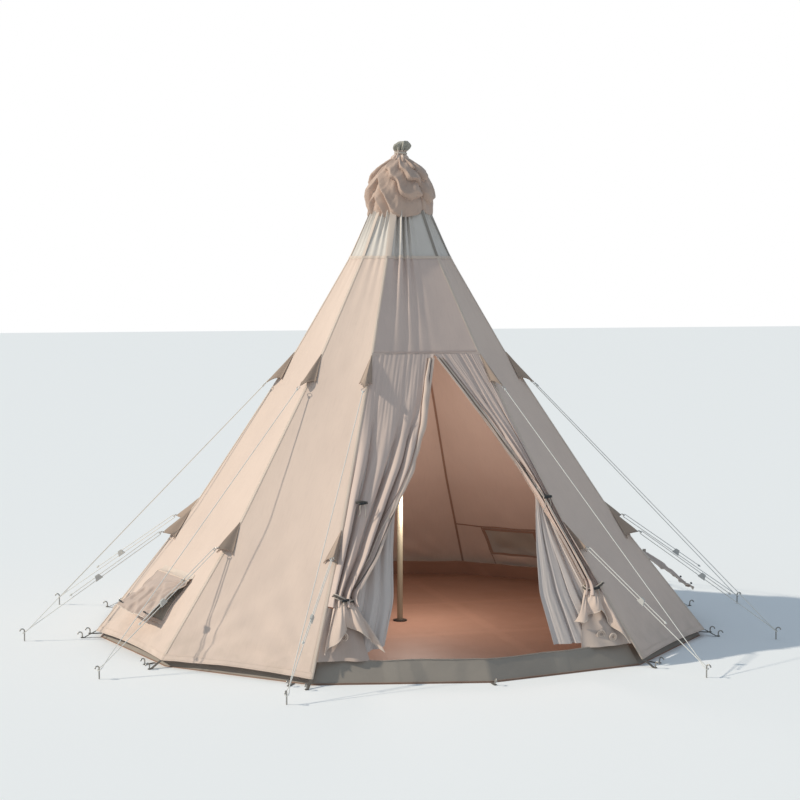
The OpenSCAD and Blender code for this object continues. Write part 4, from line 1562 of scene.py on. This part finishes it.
@dataclass
class Door:
    """The doorway: curtains, nets, edge tapes, ties, and what shows under the tied skirts."""

    skin: Skin
    left_levels: tuple[Triple, ...] = (
        (1.79, 0.045, 0.0), (1.4, -0.075, 0.1), (1.14, -0.202, 0.25), (0.91, -0.352, 0.4),
        (0.65, -0.516, 0.6), (0.45, -0.69, 1.0), (0.32, -0.65, 0.9), (0.13, -0.62, 1.0),
    )
    right_levels: tuple[Triple, ...] = (
        (1.79, 0.057, 0.0), (1.4, 0.309, 0.2), (1.14, 0.455, 0.5), (0.95, 0.555, 0.9),
        (0.7, 0.655, 0.8), (0.45, 0.74, 1.0), (0.32, 0.66, 0.9), (0.13, 0.61, 1.0),
    )
    left_net: tuple[Triple, ...] = (
        (1.78, 0.03, 0.0), (1.1, -0.255, 0.15), (0.9, -0.34, 0.3), (0.65, -0.4, 0.4),
        (0.41, -0.442, 0.4), (0.14, -0.56, 0.4),
    )
    right_net: tuple[Triple, ...] = (
        (1.78, 0.075, 0.0), (1.1, 0.48, 0.2), (0.95, 0.556, 0.4), (0.65, 0.49, 0.4),
        (0.41, 0.45, 0.4), (0.14, 0.47, 0.4),
    )
    ties: tuple[tuple[int, float, float], ...] = (
        (-1, 0.95, -0.56), (-1, 0.44, -0.75), (1, 0.95, 0.60), (1, 0.44, 0.785),
    )

    def build(self) -> None:
        """Hangs and ties everything in the doorway."""
        left = Drape(
            self.skin, "curtain_left", "door_curtain_left", -1, self.left_levels, Finish.FACING,
            Finish.LINING, 3.3, (0.95, 1.95), 1.05, "canvas", 21, jamb=0.006,
            hem=((0.0, 0.40), (1.0, 0.40)),
        )
        right = Drape(
            self.skin, "curtain_right", "door_curtain_right", 1, self.right_levels, Finish.FACING,
            Finish.LINING, 3.6, (0.95, 1.95), 1.00, "canvas", 33, jamb=0.006,
            hem=((0.0, 0.40), (1.0, 0.40)),
        )
        nets = (
            Drape(
                self.skin, "net_left", "net_curtain_left", -1, self.left_net, Finish.CURTAIN_NET,
                Finish.CURTAIN_NET, 3.6, (0.70, 1.9), 0.62, "curtain_net", 45, jamb=0.052,
                lean_back=0.023, shallow=0.002, deep=0.010, fullness=0.8, forward=0.0, cloth=0.0009,
                hem=((0.0, 0.14), (0.6, 0.14), (1.0, 0.18)),
            ),
            Drape(
                self.skin, "net_right", "net_curtain_right", 1, self.right_net, Finish.CURTAIN_NET,
                Finish.CURTAIN_NET, 3.6, (0.70, 1.9), 0.62, "curtain_net", 57, jamb=0.052,
                lean_back=0.023, shallow=0.002, deep=0.010, fullness=0.8, forward=0.0, cloth=0.0009,
                hem=((0.0, 0.14), (1.0, 0.14)),
            ),
        )
        for drape in (left, right, *nets):
            drape.build()
        self._edges(left, right)
        self._ties((left, right))
        self._skirt_linings(left, right)
        self._skirts(left, right)
        self._rolled_edge(left)

    def _edges(self, left: Drape, right: Drape) -> None:
        """Sews the zip tapes along the curtains' inner edges."""
        tapes, sewing = Weaver("door_edge_tapes"), Stitching("door_edge_stitches")
        for drape, low in ((left, 0.49), (right, 0.49)):
            z = np.linspace(low, 1.775, 90)
            width = np.abs(drape.inner(z) - drape.outer(z))
            for inset, half, finish in ((0.0, 0.007, Finish.CANVAS), (0.026, 0.005, Finish.TAPE)):
                v = 1 - inset / width
                middle = drape.surface(v, z, 0.006)
                columns = [middle + np.array([way * half, 0, 0]) for way in (-1, 0, 1)]
                grid = np.stack(columns, axis=1)
                tapes.shell(grid, 0.0022, finish)
            teeth = drape.surface(1 - 0.014 / width, z, 0.007)
            tapes.tube(teeth, 0.0026, Finish.WEBBING, 6)
            line = drape.surface(1 - 0.036 / width, z, 0.0035)
            tapes.tube(line, 0.0018, Finish.DARK_TAPE, 6)
            out = np.tile(np.array([0.0, -1.0, 0.6]), (len(z), 1))
            sewing.line(middle + np.array([0, -0.0006, 0]), out)
        tapes.build("canvas", crisp=60.0)
        sewing.build("canvas")

    def _ties(self, drapes: tuple[Drape, Drape]) -> None:
        """Wraps each gathered bundle with a strap, a toggle and loose cord ends."""
        weaver = Weaver("tie_straps")
        for side, z, x in self.ties:
            drape = drapes[0] if side < 0 else drapes[1]
            tight = float(drape.gather(np.array(z))) > 0.95
            half = 0.060 if tight else 0.036
            front = float(drape.plane(np.array(z))) - 0.064
            back = float(drape.plane(np.array(z))) + 0.012
            if tight:
                turns = circle(40)
                ring = np.stack([
                    x + half * np.cos(turns), (front + back) / 2 + (back - front) / 2 * np.sin(turns),
                    z + 0.010 * np.cos(turns * 2 + side) + 0.012 * side * np.cos(turns),
                ], axis=-1)
                weaver.tube(ring, 0.0095, Finish.WEBBING, 8, closed=True, flatten=0.32, flat_way=(0, 0, 1))
                for turn in (0.006, -0.008):
                    raised = ring + np.array([0, 0, turn * 1.6])
                    weaver.tube(raised, 0.0030, Finish.CORD_TIE, 7, closed=True)
            else:
                strip = np.stack([
                    x + np.linspace(-half, half, 14),
                    np.full(14, front + 0.012) - 0.004 * np.sin(np.linspace(0, 3.1, 14)),
                    z + 0.004 * np.sin(np.linspace(0, 4, 14)),
                ], axis=-1)
                weaver.tube(strip, 0.009, Finish.WEBBING, 8, flatten=0.30, flat_way=(0, -1, 0.7))
            along = np.linspace(-1, 1, 18)
            bead = np.stack([
                x + 0.024 * along, np.full(18, front - 0.010), z - 0.004 + 0.004 * along,
            ], axis=-1)
            waist = 1 - 0.25 * np.exp(-(along / 0.16) ** 2)
            radius = 0.0074 * (1 - np.abs(along) ** 5) ** 0.5 * waist + 0.0006
            weaver.tube(bead, radius, Finish.BLACK, 12)
            for way, long in ((-1, 0.070), (1, 0.095)):
                t = np.linspace(0, 1, 16)
                tail = np.stack([
                    x + way * (0.006 + 0.020 * t + 0.006 * np.sin(6 * t)),
                    front - 0.012 - 0.006 * np.sin(3 * t),
                    z - 0.004 - long * t,
                ], axis=-1)
                weaver.tube(tail, 0.0022, Finish.CORD_TIE, 7)
                knot = np.array([tail[-1] + [0, 0, 0.005], tail[-1], tail[-1] - [0, 0, 0.006]])
                weaver.tube(knot, np.array([0.002, 0.0044, 0.002]), Finish.CORD_TIE, 8)
        weaver.build("tie_webbing", replaces=["curtain_ties"], crisp=60.0)

    def _rolled_edge(self, left: Drape) -> None:
        """Rolls the left curtain's inner edge outwards, above its upper tie, in canvas lighter than the
        curtain's own as a painted highlight on the sunlit roll.
        """
        z = np.linspace(0.86, 1.77, 70)
        share = (z - z[0]) / (z[-1] - z[0])
        path = left.surface(1 - 0.020 / np.abs(left.inner(z) - left.outer(z)), z, 0.008)
        wobble = Ripples(64, 7, 0.10, 0.5, 0.3)(z, 0 * z)
        plump = smooth(share, 0.0, 0.35) * (1 - 0.75 * smooth(share, 0.82, 1.0))
        radius = 0.004 + 0.013 * plump * (1 + 0.25 * wobble)
        path[:, 0] += 0.006 * wobble
        weaver = Weaver("rolled_edge")
        # Painted highlight: the roll is real, and its canvas is lighter than the curtain's to brighten the
        # sunlit edge.
        weaver.tube(path, radius, Finish.CANVAS, 16, flatten=0.8, flat_way=(0, -1, 0.6))
        weaver.build("canvas", crisp=70.0)

    def _skirts(self, left: Drape, right: Drape) -> None:
        """Flares the cloth below the lower ties into bells with lifted hems."""
        shapes = (
            (left, -1, (-0.75, 0.44), (-0.175, 0.160), (0.145, 0.315, 0.165), 0.44),
            (right, 1, (0.785, 0.44), (-0.150, 0.150), (0.255, 0.315, 0.145), 0.50),
        )
        for drape, side, (tie_x, tie_z), spread, hems, crown in shapes:
            a = np.linspace(-1, 1, 120)[None, :]
            t = np.linspace(0, 1, 46)[:, None]
            hem = np.interp(a, [-1, 2 * crown - 1, 1], [hems[0], hems[1], hems[2]])
            hem = hem + 0.010 * np.sin(4.2 * a + side) + 0.004 * np.sin(11 * a)
            z = hem + (tie_z + 0.012 - hem) * t
            down = 1 - t
            flare = down ** 0.75
            reach = np.where(a < 0, -spread[0], spread[1])
            folds = fold(2 * math.pi * (1.25 * a + 0.20 * np.sin(3 * down + side)) + 2.2 * side, 0.25)
            fine = np.sin(2 * math.pi * 4.3 * a + 4 * down) * (1 - down) ** 1.5
            sway = (0.020 if side < 0 else -0.012) * down
            x = tie_x + sway + a * (0.032 + (reach - 0.032) * flare) + 0.010 * folds * flare
            belly = 0.030 + 0.030 * np.sin(math.pi * np.clip(down * 0.85, 0, 1))
            bulge = belly * np.sqrt(np.clip(1 - (0.92 * a) ** 2, 0, 1))
            y = drape.plane(z) - 0.004 - bulge - 0.021 * folds * (0.1 + flare) - 0.007 * fine
            grid = np.stack([x + 0 * t, y, z + 0 * a], axis=-1)
            weaver = Weaver("skirt_left" if side < 0 else "skirt_right")
            weaver.shell(grid, 0.0018, Finish.CANVAS, Finish.LINING)
            weaver.tube(grid[0], 0.0030, Finish.TAPE, 7)
            weaver.build("canvas", crisp=70.0)

    def _skirt_linings(self, left: Drape, right: Drape) -> None:
        """Makes the inner flaps with their eyelets, under the skirts."""
        weaver = Weaver("skirt_flaps")
        for drape, side, finish in ((left, -1, Finish.FLAP), (right, 1, Finish.LINING)):
            v = np.linspace(0, 1, 40)[None, :]
            t = np.linspace(0, 1, 26)[:, None]
            z = 0.125 + (0.27 if side < 0 else 0.25) * t * (1 - 0.1 * v) - 0.01 * v
            outer, inner = drape.outer(z) - side * 0.004, drape.inner(z) - side * -0.03
            x = outer + (inner - outer) * v
            wave = 0.010 * np.sin(7 * v + 2 * t + side) + 0.006 * np.sin(15 * v - 3 * t)
            y = drape.plane(z) - 0.004 + wave * (1 - 0.5 * t) + 0 * v
            grid = np.stack([x, y, z + 0 * v], axis=-1)
            weaver.shell(grid if side < 0 else grid[:, ::-1], 0.0016, finish)
            places = ((0.52, 0.50, 0.026),) if side < 0 else ((0.60, 0.30, 0.024), (0.38, 0.22, 0.020))
            for place_v, place_t, size in places:
                i, j = int(place_t * 25), int(place_v * 39)
                centre = grid[i, j] + np.array([0, -0.012, 0])
                turns = circle(32)
                for radius, wire in ((size, 0.0042), (size * 0.62, 0.0026)):
                    ring = centre + np.stack([
                        radius * np.cos(turns), -0.105 * radius * np.sin(turns), radius * np.sin(turns),
                    ], axis=-1)
                    weaver.tube(ring, wire, Finish.TAPE, 8, closed=True)
        weaver.build("canvas", crisp=70.0)


# ---------------------------------------------------------------- groundsheet


@dataclass
class Groundsheet:
    """The coated floor, its low wall round the tent, and the sill at the door."""

    skin: Skin
    corner_r: float = 1.973
    sill_r: float = 1.918
    thick: float = 0.003
    wall_h: float = 0.12
    lean: float = 0.0979
    floor_flat: tuple[float, float] = (3.9, 3.9)

    def _corners(self, lean: float = 0.0) -> Array:
        """Returns the floor's corners, from the first ridge round the back to the door's middle."""
        angles = [self.skin.ridge_angle(ridge) for ridge in range(1, self.skin.ridges + 1)]
        ring = [beside(angle, [[self.corner_r - lean, 0, 0]])[0] for angle in angles]
        ring.append(beside(0.0, [[self.sill_r - lean, 0, 0]])[0])
        return np.array(ring)

    @staticmethod
    def _along(corners: Array, per_side: int, closed: bool) -> Array:
        """Returns points along a line of corners, evenly on each side."""
        ends = np.roll(corners, -1, axis=0) if closed else corners[1:]
        starts = corners if closed else corners[:-1]
        t = np.linspace(0, 1, per_side, endpoint=False)[None, :, None]
        line = (starts[:, None] * (1 - t) + ends[:, None] * t).reshape(-1, 3)
        return line if closed else np.vstack([line, corners[-1:]])

    def build(self) -> None:
        """Lays the floor and stands up its walls."""
        rim = self._along(self._corners(), 26, True)
        share = (np.linspace(0, 1, 80) ** 0.85)[::-1][:, None, None]
        grid = rim[None] * np.maximum(share, 0.004)
        wave = Ripples(71, 16, 0.10, 0.9, 1.5)
        crease = Ripples(72, 8, 0.05, 0.22, 1.5)
        height = 0.5 + 0.5 * wave(grid[..., 0], grid[..., 1])
        ridge_line = np.abs(wave(grid[..., 0] * 0.8 + 3, grid[..., 1] * 0.8))
        sharp = np.exp(-(ridge_line / 0.035) ** 2) * np.clip(crease(grid[..., 0], grid[..., 1]), 0, 1)
        near_foot = smooth(np.linalg.norm(grid[..., :2], axis=-1), 0.05, 0.16)
        inside = 1 - smooth(share[..., 0], 0.97, 1.0)
        grid[..., 2] = self.thick + (0.0035 * np.clip(height, 0, 1) + 0.0035 * sharp) * inside * near_foot
        weaver = Weaver("floor_cloth")
        weaver.shell(grid, self.thick - 0.0002, Finish.FLOOR, closed=True)
        floor = weaver.build("groundsheet", replaces=["groundsheet_floor"], crisp=50.0)
        self._wall()
        self._sill()

    def _stand(self, line: Array, foot: float, seed: int, slump: float) -> Array:
        """Stands a wall on a line of points on the ground.

        Args:
            line: The points.
            foot: The height of its foot.
            seed: The seed of its ripples.
            slump: How far its upper edge may sink.

        Returns:
            The wall, in rows from its foot.
        """
        t = np.linspace(0, 1, 12)[:, None]
        run = lengths(line[None], 1)[0]
        ripple = Ripples(seed, 12, 0.08, 0.7, 0.6)
        wave = ripple(run[None, :], 0.4 * t)
        inward = -line[:, :2] / np.linalg.norm(line[:, :2], axis=1, keepdims=True)
        top = self.wall_h - slump * (0.5 + 0.5 * ripple(run * 0.6 + 5, 0 * run))[None, :]
        z = foot + (top - foot) * t
        lean = self.lean * (z / self.wall_h)
        xy = line[None, :, :2] + inward[None] * (lean + 0.006 * wave * t + 0.004)[..., None]
        return np.concatenate([xy, z[..., None]], axis=-1)

    def _wall(self) -> None:
        """Stands up the wall behind the canvas."""
        line = self._along(self._corners()[:-1], 26, False)
        grid = self._stand(line, 0.004, 81, 0.012)
        weaver = Weaver("floor_wall")
        # The outer face takes the sill's dark coating: partly the groundsheet's own colour, and partly
        # painted shade for the thin shadow line under the hem.
        weaver.shell(grid, 0.0018, Finish.SILL_AND_PAINTED_SHADE, Finish.FLOOR)
        weaver.tube(grid[-1], 0.0036, Finish.DARK_TAPE, 8)
        wall = weaver.build("groundsheet", replaces=["groundsheet_wall"], crisp=60.0)

    def _sill(self) -> None:
        """Stands up the sill across the door, with its top binding."""
        corners = self._corners()
        line = self._along(np.array([corners[-2], corners[-1], corners[0]]), 60, False)
        grid = self._stand(line, 0.004, 93, 0.010)
        weaver = Weaver("sill_wall")
        weaver.shell(grid, 0.0018, Finish.SILL_AND_PAINTED_SHADE, Finish.FLOOR)
        weaver.tube(grid[-1], 0.0042, Finish.SILL_AND_PAINTED_SHADE, 8)
        weaver.tube(grid[0] + np.array([0, 0, 0.003]), 0.0035, Finish.DARK_TAPE, 8)
        sill = weaver.build("sill_cloth", replaces=["door_sill"], crisp=60.0)


# ---------------------------------------------------------------- windows


@dataclass
class Windows:
    """Three low windows: a net in a taped frame, and a flap that hinges on its piping."""

    skin: Skin
    canopy: Canopy
    frame: float = 0.013
    hinge: tuple[float, float] = (1.6245, 0.4446)
    flap_half: float = 0.234
    flap_l: float = 0.3475
    closed_slope: float = math.radians(38.24)
    stand_off: float = math.radians(15)
    piping: float = 0.004

    def _on_face(self, face: int, x: Array, z: Array, lift: float) -> Array:
        """Returns points on a face from metres across and up."""
        return self.skin.point(face, x / self.skin.half_width(face, z), z, lift)

    def _ring(self, face: int, margin_in: float, margin_out: float, lift: float, inside: bool) -> Array:
        """Returns a frame round a window, in rows from its outer edge to its inner edge."""
        half, low, high = self.canopy.window_half, self.canopy.window_low, self.canopy.window_high
        rows = []
        for margin in np.linspace(margin_out, margin_in, 4):
            a, b, c = half + margin, low - margin, high + margin
            corners = np.array([[-a, b], [a, b], [a, c], [-a, c]])
            t = np.linspace(0, 1, 18, endpoint=False)[None, :, None]
            loop = (corners[:, None] * (1 - t) + np.roll(corners, -1, axis=0)[:, None] * t).reshape(-1, 2)
            rows.append(loop)
        loops = np.array(rows)
        grid = self._on_face(face, loops[..., 0], loops[..., 1], lift)
        return grid[:, ::-1] if inside else grid

    def build(self) -> None:
        """Makes every window."""
        nets, frames, heads = Weaver("window_net_cloths"), Weaver("window_frames"), Weaver("flap_heads")
        sewing = Stitching("window_stitches")
        half, low, high = self.canopy.window_half, self.canopy.window_low, self.canopy.window_high
        for face in self.canopy.window_faces:
            x = np.linspace(-half - 0.008, half + 0.008, 30)[None, :]
            z = np.linspace(low - 0.008, high + 0.008, 18)[:, None]
            nets.shell(self._on_face(face, x + 0 * z, z + 0 * x, -0.0022), 0.0008, Finish.WINDOW_NET)
            ring = self._ring(face, -0.004, self.frame, 0.0018, False)
            frames.shell(ring, 0.0015, Finish.CANVAS, closed=True)
            lining = -(self.canopy.cloth + 0.0020)
            frames.shell(
                self._ring(face, -0.004, self.frame, lining, True), 0.0015, Finish.DARK_TAPE, closed=True
            )
            self._inner_seams(face, frames, lining)
            for margin in (0.004, self.frame - 0.004):
                loop = self._ring(face, margin, margin, 0.0018, False)[0]
                raised = self._ring(face, margin, margin, 0.0118, False)[0]
                closed = np.vstack([loop, loop[:1]])
                sewing.line(closed, np.vstack([raised - loop, (raised - loop)[:1]]) * 100)
            self._flap(face)
            self._head(face, heads)
        window = nets.build("window_mesh", replaces=["window_nets"], crisp=70.0)
        frames.build("canvas", crisp=50.0)
        heads.build("canvas", crisp=50.0)
        sewing.build("canvas")

    def _inner_seams(self, face: int, frames: Weaver, lift: float) -> None:
        """Sews the seams inside that run across the panel and down beside a window."""
        half = self.canopy.window_half
        level = self.canopy.window_high + self.frame + 0.006
        u = np.linspace(0.985, -0.985, 60)[None, :]
        z = np.linspace(level, level + 0.010, 3)[:, None]
        frames.shell(self.skin.point(face, u + 0 * z, z + 0 * u, lift), 0.0014, Finish.DARK_TAPE)
        for x in (-half - self.frame - 0.008, half + self.frame + 0.002):
            across = np.linspace(x + 0.008, x, 3)[None, :]
            up = np.linspace(0.05, level, 24)[:, None]
            strip = self._on_face(face, across + 0 * up, up + 0 * across, lift)
            frames.shell(strip, 0.0014, Finish.DARK_TAPE)

    def _head(self, face: int, heads: Weaver) -> None:
        """Sews the strip that carries a flap's piping onto the panel."""
        angle = self.skin.middle(face)
        x = np.linspace(-self.flap_half + 0.006, self.flap_half - 0.006, 24)
        upper = self._on_face(face, x, np.full_like(x, self.hinge[1] + 0.034), 0.0022)
        lower = self._on_face(face, x, np.full_like(x, self.hinge[1] + 0.012), 0.0026)
        wrapped = beside(angle, np.stack([
            np.full_like(x, self.hinge[0] + 0.0035), x, np.full_like(x, self.hinge[1] + 0.0052),
        ], axis=-1))
        heads.shell(np.stack([wrapped, lower, upper]), 0.0013, Finish.TAPE)

    def _flap(self, face: int) -> None:
        """Sews a flap, its bound edges and its toggles, on the flap's own body."""
        weaver = Weaver(f"flap_cloth_{face:02d}")
        angle = self.skin.middle(face)
        slope = self.closed_slope + self.stand_off
        x = np.linspace(-1, 1, 60)[None, :]
        t = np.linspace(1, 0, 40)[:, None]
        reach_x, reach_t = self.flap_half * (x - 0.985), self.flap_l * t
        away = np.hypot(reach_x, reach_t + 0.01)
        around = np.arctan2(reach_t + 0.01, -reach_x + 0.01)
        fan = np.sin(16 * around + 0.6) * np.exp(-away / 0.16) * smooth(t, 0, 0.12)
        ripple = Ripples(100 + face, 12, 0.05, 0.3, 1.4)
        crumple = fold(1.5 * math.pi * ripple(x * self.flap_half, t * self.flap_l), 0.2)
        out = 0.016 * fan + 0.008 * crumple * smooth(t, 0.05, 0.4)
        out = out + 0.016 * np.sin(math.pi * t) * (1 - x * x)
        out = out + 0.018 * smooth(t, 0.55, 1.0) * smooth(-x, 0.1, 1.0)
        pinch = 1 - 0.12 * np.sin(math.pi * t) - 0.12 * smooth(t, 0.7, 1)
        along_t = self.flap_l * t * (1 - 0.03 * np.exp(-(away / 0.1) ** 2))
        reach = self.hinge[0] + along_t * math.sin(slope) + out * math.cos(slope)
        height = self.hinge[1] - along_t * math.cos(slope) + out * math.sin(slope)
        across = self.flap_half * x * pinch
        grid = beside(angle, np.stack([reach + 0 * x, across + 0 * t, height + 0 * x], axis=-1))
        weaver.shell(grid, 0.0016, Finish.FLAP, Finish.LINING)
        weaver.tube(grid[-1], self.piping, Finish.TAPE, 10)
        for edge in (grid[0], grid[:, 0], grid[:, -1]):
            weaver.tube(edge, 0.0030, Finish.TAPE, 7)
        for column in (4, 55):
            corner = grid[3, column]
            out_way = beside(angle, [[math.cos(slope), 0, 0]])[0] + np.array([0, 0, math.sin(slope)])
            side = beside(angle, [[0, 1.0, 0]])[0]
            along = np.linspace(-1, 1, 14)[:, None]
            bead = corner + 0.012 * out_way + 0.016 * along * side
            radius = 0.0052 * (1 - np.abs(along[:, 0]) ** 5) ** 0.5 + 0.0005
            weaver.tube(bead, radius, Finish.BLACK, 10)
            stem = np.array([corner, corner + 0.006 * out_way, corner + 0.012 * out_way])
            weaver.tube(stem, 0.0018, Finish.CORD_TIE, 6)
        knot = grid[-4, -5]
        turns = np.linspace(0, 5 * math.pi, 50)
        ball = knot + np.stack([
            0.010 * np.cos(turns), 0.010 * np.sin(turns) * np.cos(turns * 0.37),
            0.010 * np.sin(turns * 0.61) + 0.006,
        ], axis=-1)
        weaver.tube(ball, 0.0032, Finish.CORD_TIE, 7)
        flap = weaver.build(
            "flap_canvas", body=f"flap_body_{face:02d}", replaces=[f"window_flap_{face:02d}"], crisp=60.0
        )


# ---------------------------------------------------------------- hardware and studio


@dataclass
class Hardware:
    """The pieces whose shapes are the frame's own, and the gathered cone under the cap."""

    finishes: tuple[tuple[str, Finish], ...] = (
        ("pole_section_", Finish.POLE), ("pole_foot", Finish.BLACK), ("pole_head", Finish.BLACK),
        ("hood_rings", Finish.ZINC), ("hem_loops", Finish.WEBBING), ("pegs", Finish.PEG),
        ("slider_", Finish.PALE),
    )

    def build(self) -> None:
        """Dresses the carried-over nodes and gathers the cone."""
        for node in frame["nodes"]:
            for start, finish in self.finishes:
                if node.startswith(start):
                    self._dress(node, finish)
        self._cone()

    def _dress(self, node: str, finish: Finish) -> None:
        """Gives a carried-over node its finish."""
        shown = bpy.data.objects[node]
        for slot in shown.material_slots:
            slot.material = WARDROBE.material(finish)
        LOG.info("%s: dressed as %s", node, finish.name.lower())

    def _cone(self) -> None:
        """Gathers the cloth cone that hangs the canvas from the pole's head."""
        v = np.linspace(0, 1, 30)[:, None]
        turn = np.linspace(-math.pi, math.pi, 150, endpoint=False)[None, :]
        radius = 0.184 + (0.0225 - 0.184) * v
        radius = radius * (1 + 0.035 * np.sin(15 * turn + 2 * v) * np.sin(math.pi * v * 0.9 + 0.2))
        z = 2.702 + (3.012 - 2.702) * v + 0 * turn
        weaver = Weaver("crown_cloth")
        grid = round_pole(radius, turn, z)
        weaver.shell(grid, 0.0018, Finish.LINING, closed=True)
        weaver.build("canvas", replaces=["crown_cone"], crisp=60.0)


class Studio:
    """The camera, the daylight and the pale floor."""

    def camera(self) -> None:
        """Stands the camera at the door's left."""
        data = bpy.data.cameras.new("camera")
        data.lens = 83.0
        data.sensor_width = 36.0
        camera = bpy.data.objects.new("camera", data)
        bpy.context.scene.collection.objects.link(camera)
        camera.location = (-3.267, -11.656, 2.309)
        pitch = math.radians(-3.965)
        way = Vector((0.2699 * math.cos(pitch), 0.9629 * math.cos(pitch), math.sin(pitch)))
        camera.rotation_euler = way.to_track_quat("-Z", "Y").to_euler()
        bpy.context.scene.camera = camera

    def light(self) -> None:
        """Lights the tent with low sun from the left, an even sky and a warm fill inside."""
        scene = bpy.context.scene
        scene.view_settings.view_transform = "Standard"
        scene.view_settings.look = "None"
        world = bpy.data.worlds.new("sky")
        world.use_nodes = True
        sky = world.node_tree.nodes["Background"]
        sky.inputs["Color"].default_value = (0.70, 0.85, 1.0, 1.0)
        sky.inputs["Strength"].default_value = 0.50
        self._white_beyond(world, sky)
        scene.world = world
        sun = bpy.data.lights.new("sun", "SUN")
        sun.energy = 2.85
        sun.angle = math.radians(1.6)
        sun.color = (1.0, 0.93, 0.80)
        azimuth, elevation = math.radians(-103), math.radians(33)
        level = math.cos(elevation)
        self._aim("sun", sun, (math.sin(azimuth) * level, -math.cos(azimuth) * level, math.sin(elevation)))
        fill = bpy.data.lights.new("inside_fill", "POINT")
        fill.shadow_soft_size = 0.22
        fill.energy = 25.0
        fill.color = (1.0, 0.85, 0.76)
        placed = self._aim("inside_fill", fill, (0.0, 0.0, 1.0))
        placed.location = (0.05, -0.10, 0.75)
        placed.visible_camera = False

    @staticmethod
    def _white_beyond(world: bpy.types.World, sky: bpy.types.Node) -> None:
        """Shows a plain white surround behind the tent, apart from the light that it gives."""
        nodes, links = world.node_tree.nodes, world.node_tree.links
        white, mix = nodes.new("ShaderNodeBackground"), nodes.new("ShaderNodeMixShader")
        rays = nodes.new("ShaderNodeLightPath")
        links.new(rays.outputs["Is Camera Ray"], mix.inputs[0])
        links.new(sky.outputs[0], mix.inputs[1])
        links.new(white.outputs[0], mix.inputs[2])
        white.inputs["Color"].default_value = (1.0, 1.0, 1.0, 1.0)
        links.new(mix.outputs[0], nodes["World Output"].inputs["Surface"])

    @staticmethod
    def _aim(name: str, data: bpy.types.Light, source: Sequence[float]) -> bpy.types.Object:
        """Makes a light that shines from a direction towards the tent."""
        made = show(name, data)
        made.rotation_euler = (-Vector(source)).to_track_quat("-Z", "Y").to_euler()
        return made

    def floor(self) -> None:
        """Lays the pale floor."""
        mesh = bpy.data.meshes.new("studio_floor")
        far = 60.0
        mesh.from_pydata([(-far, -far, 0), (far, -far, 0), (far, far, 0), (-far, far, 0)], [], [(0, 1, 2, 3)])
        paint = Shader("studio_floor")
        mesh.materials.append(paint.dress(Base_Color=(0.93, 0.93, 0.93, 1.0), Roughness=0.9))
        floor = show("studio_floor", mesh)
        floor.location.z = -0.0005


def main() -> None:
    """Builds the tent piece by piece."""
    logging.basicConfig(level=logging.INFO, format="%(name)s: %(message)s")
    studio = Studio()
    studio.camera()
    skin = Skin()
    GuyRopes(skin).build()
    canopy = Canopy(skin)
    canopy.build()
    Trims(skin, canopy).build()
    VentNet(skin).build()
    Cap().build()
    Hoods(skin, "upper_hood_cloths", "upper_hoods", 1.8, (0.89, 1.605), 0.075, 1.55, 0.045).build()
    Hoods(skin, "lower_hood_cloths", "lower_hoods", 0.8, (1.572, 0.655), 0.105, 0.54, 0.021).build()
    Door(skin).build()
    Groundsheet(skin).build()
    Windows(skin, canopy).build()
    Hardware().build()
    studio.light()
    studio.floor()


if __name__ == "__main__":
    main()
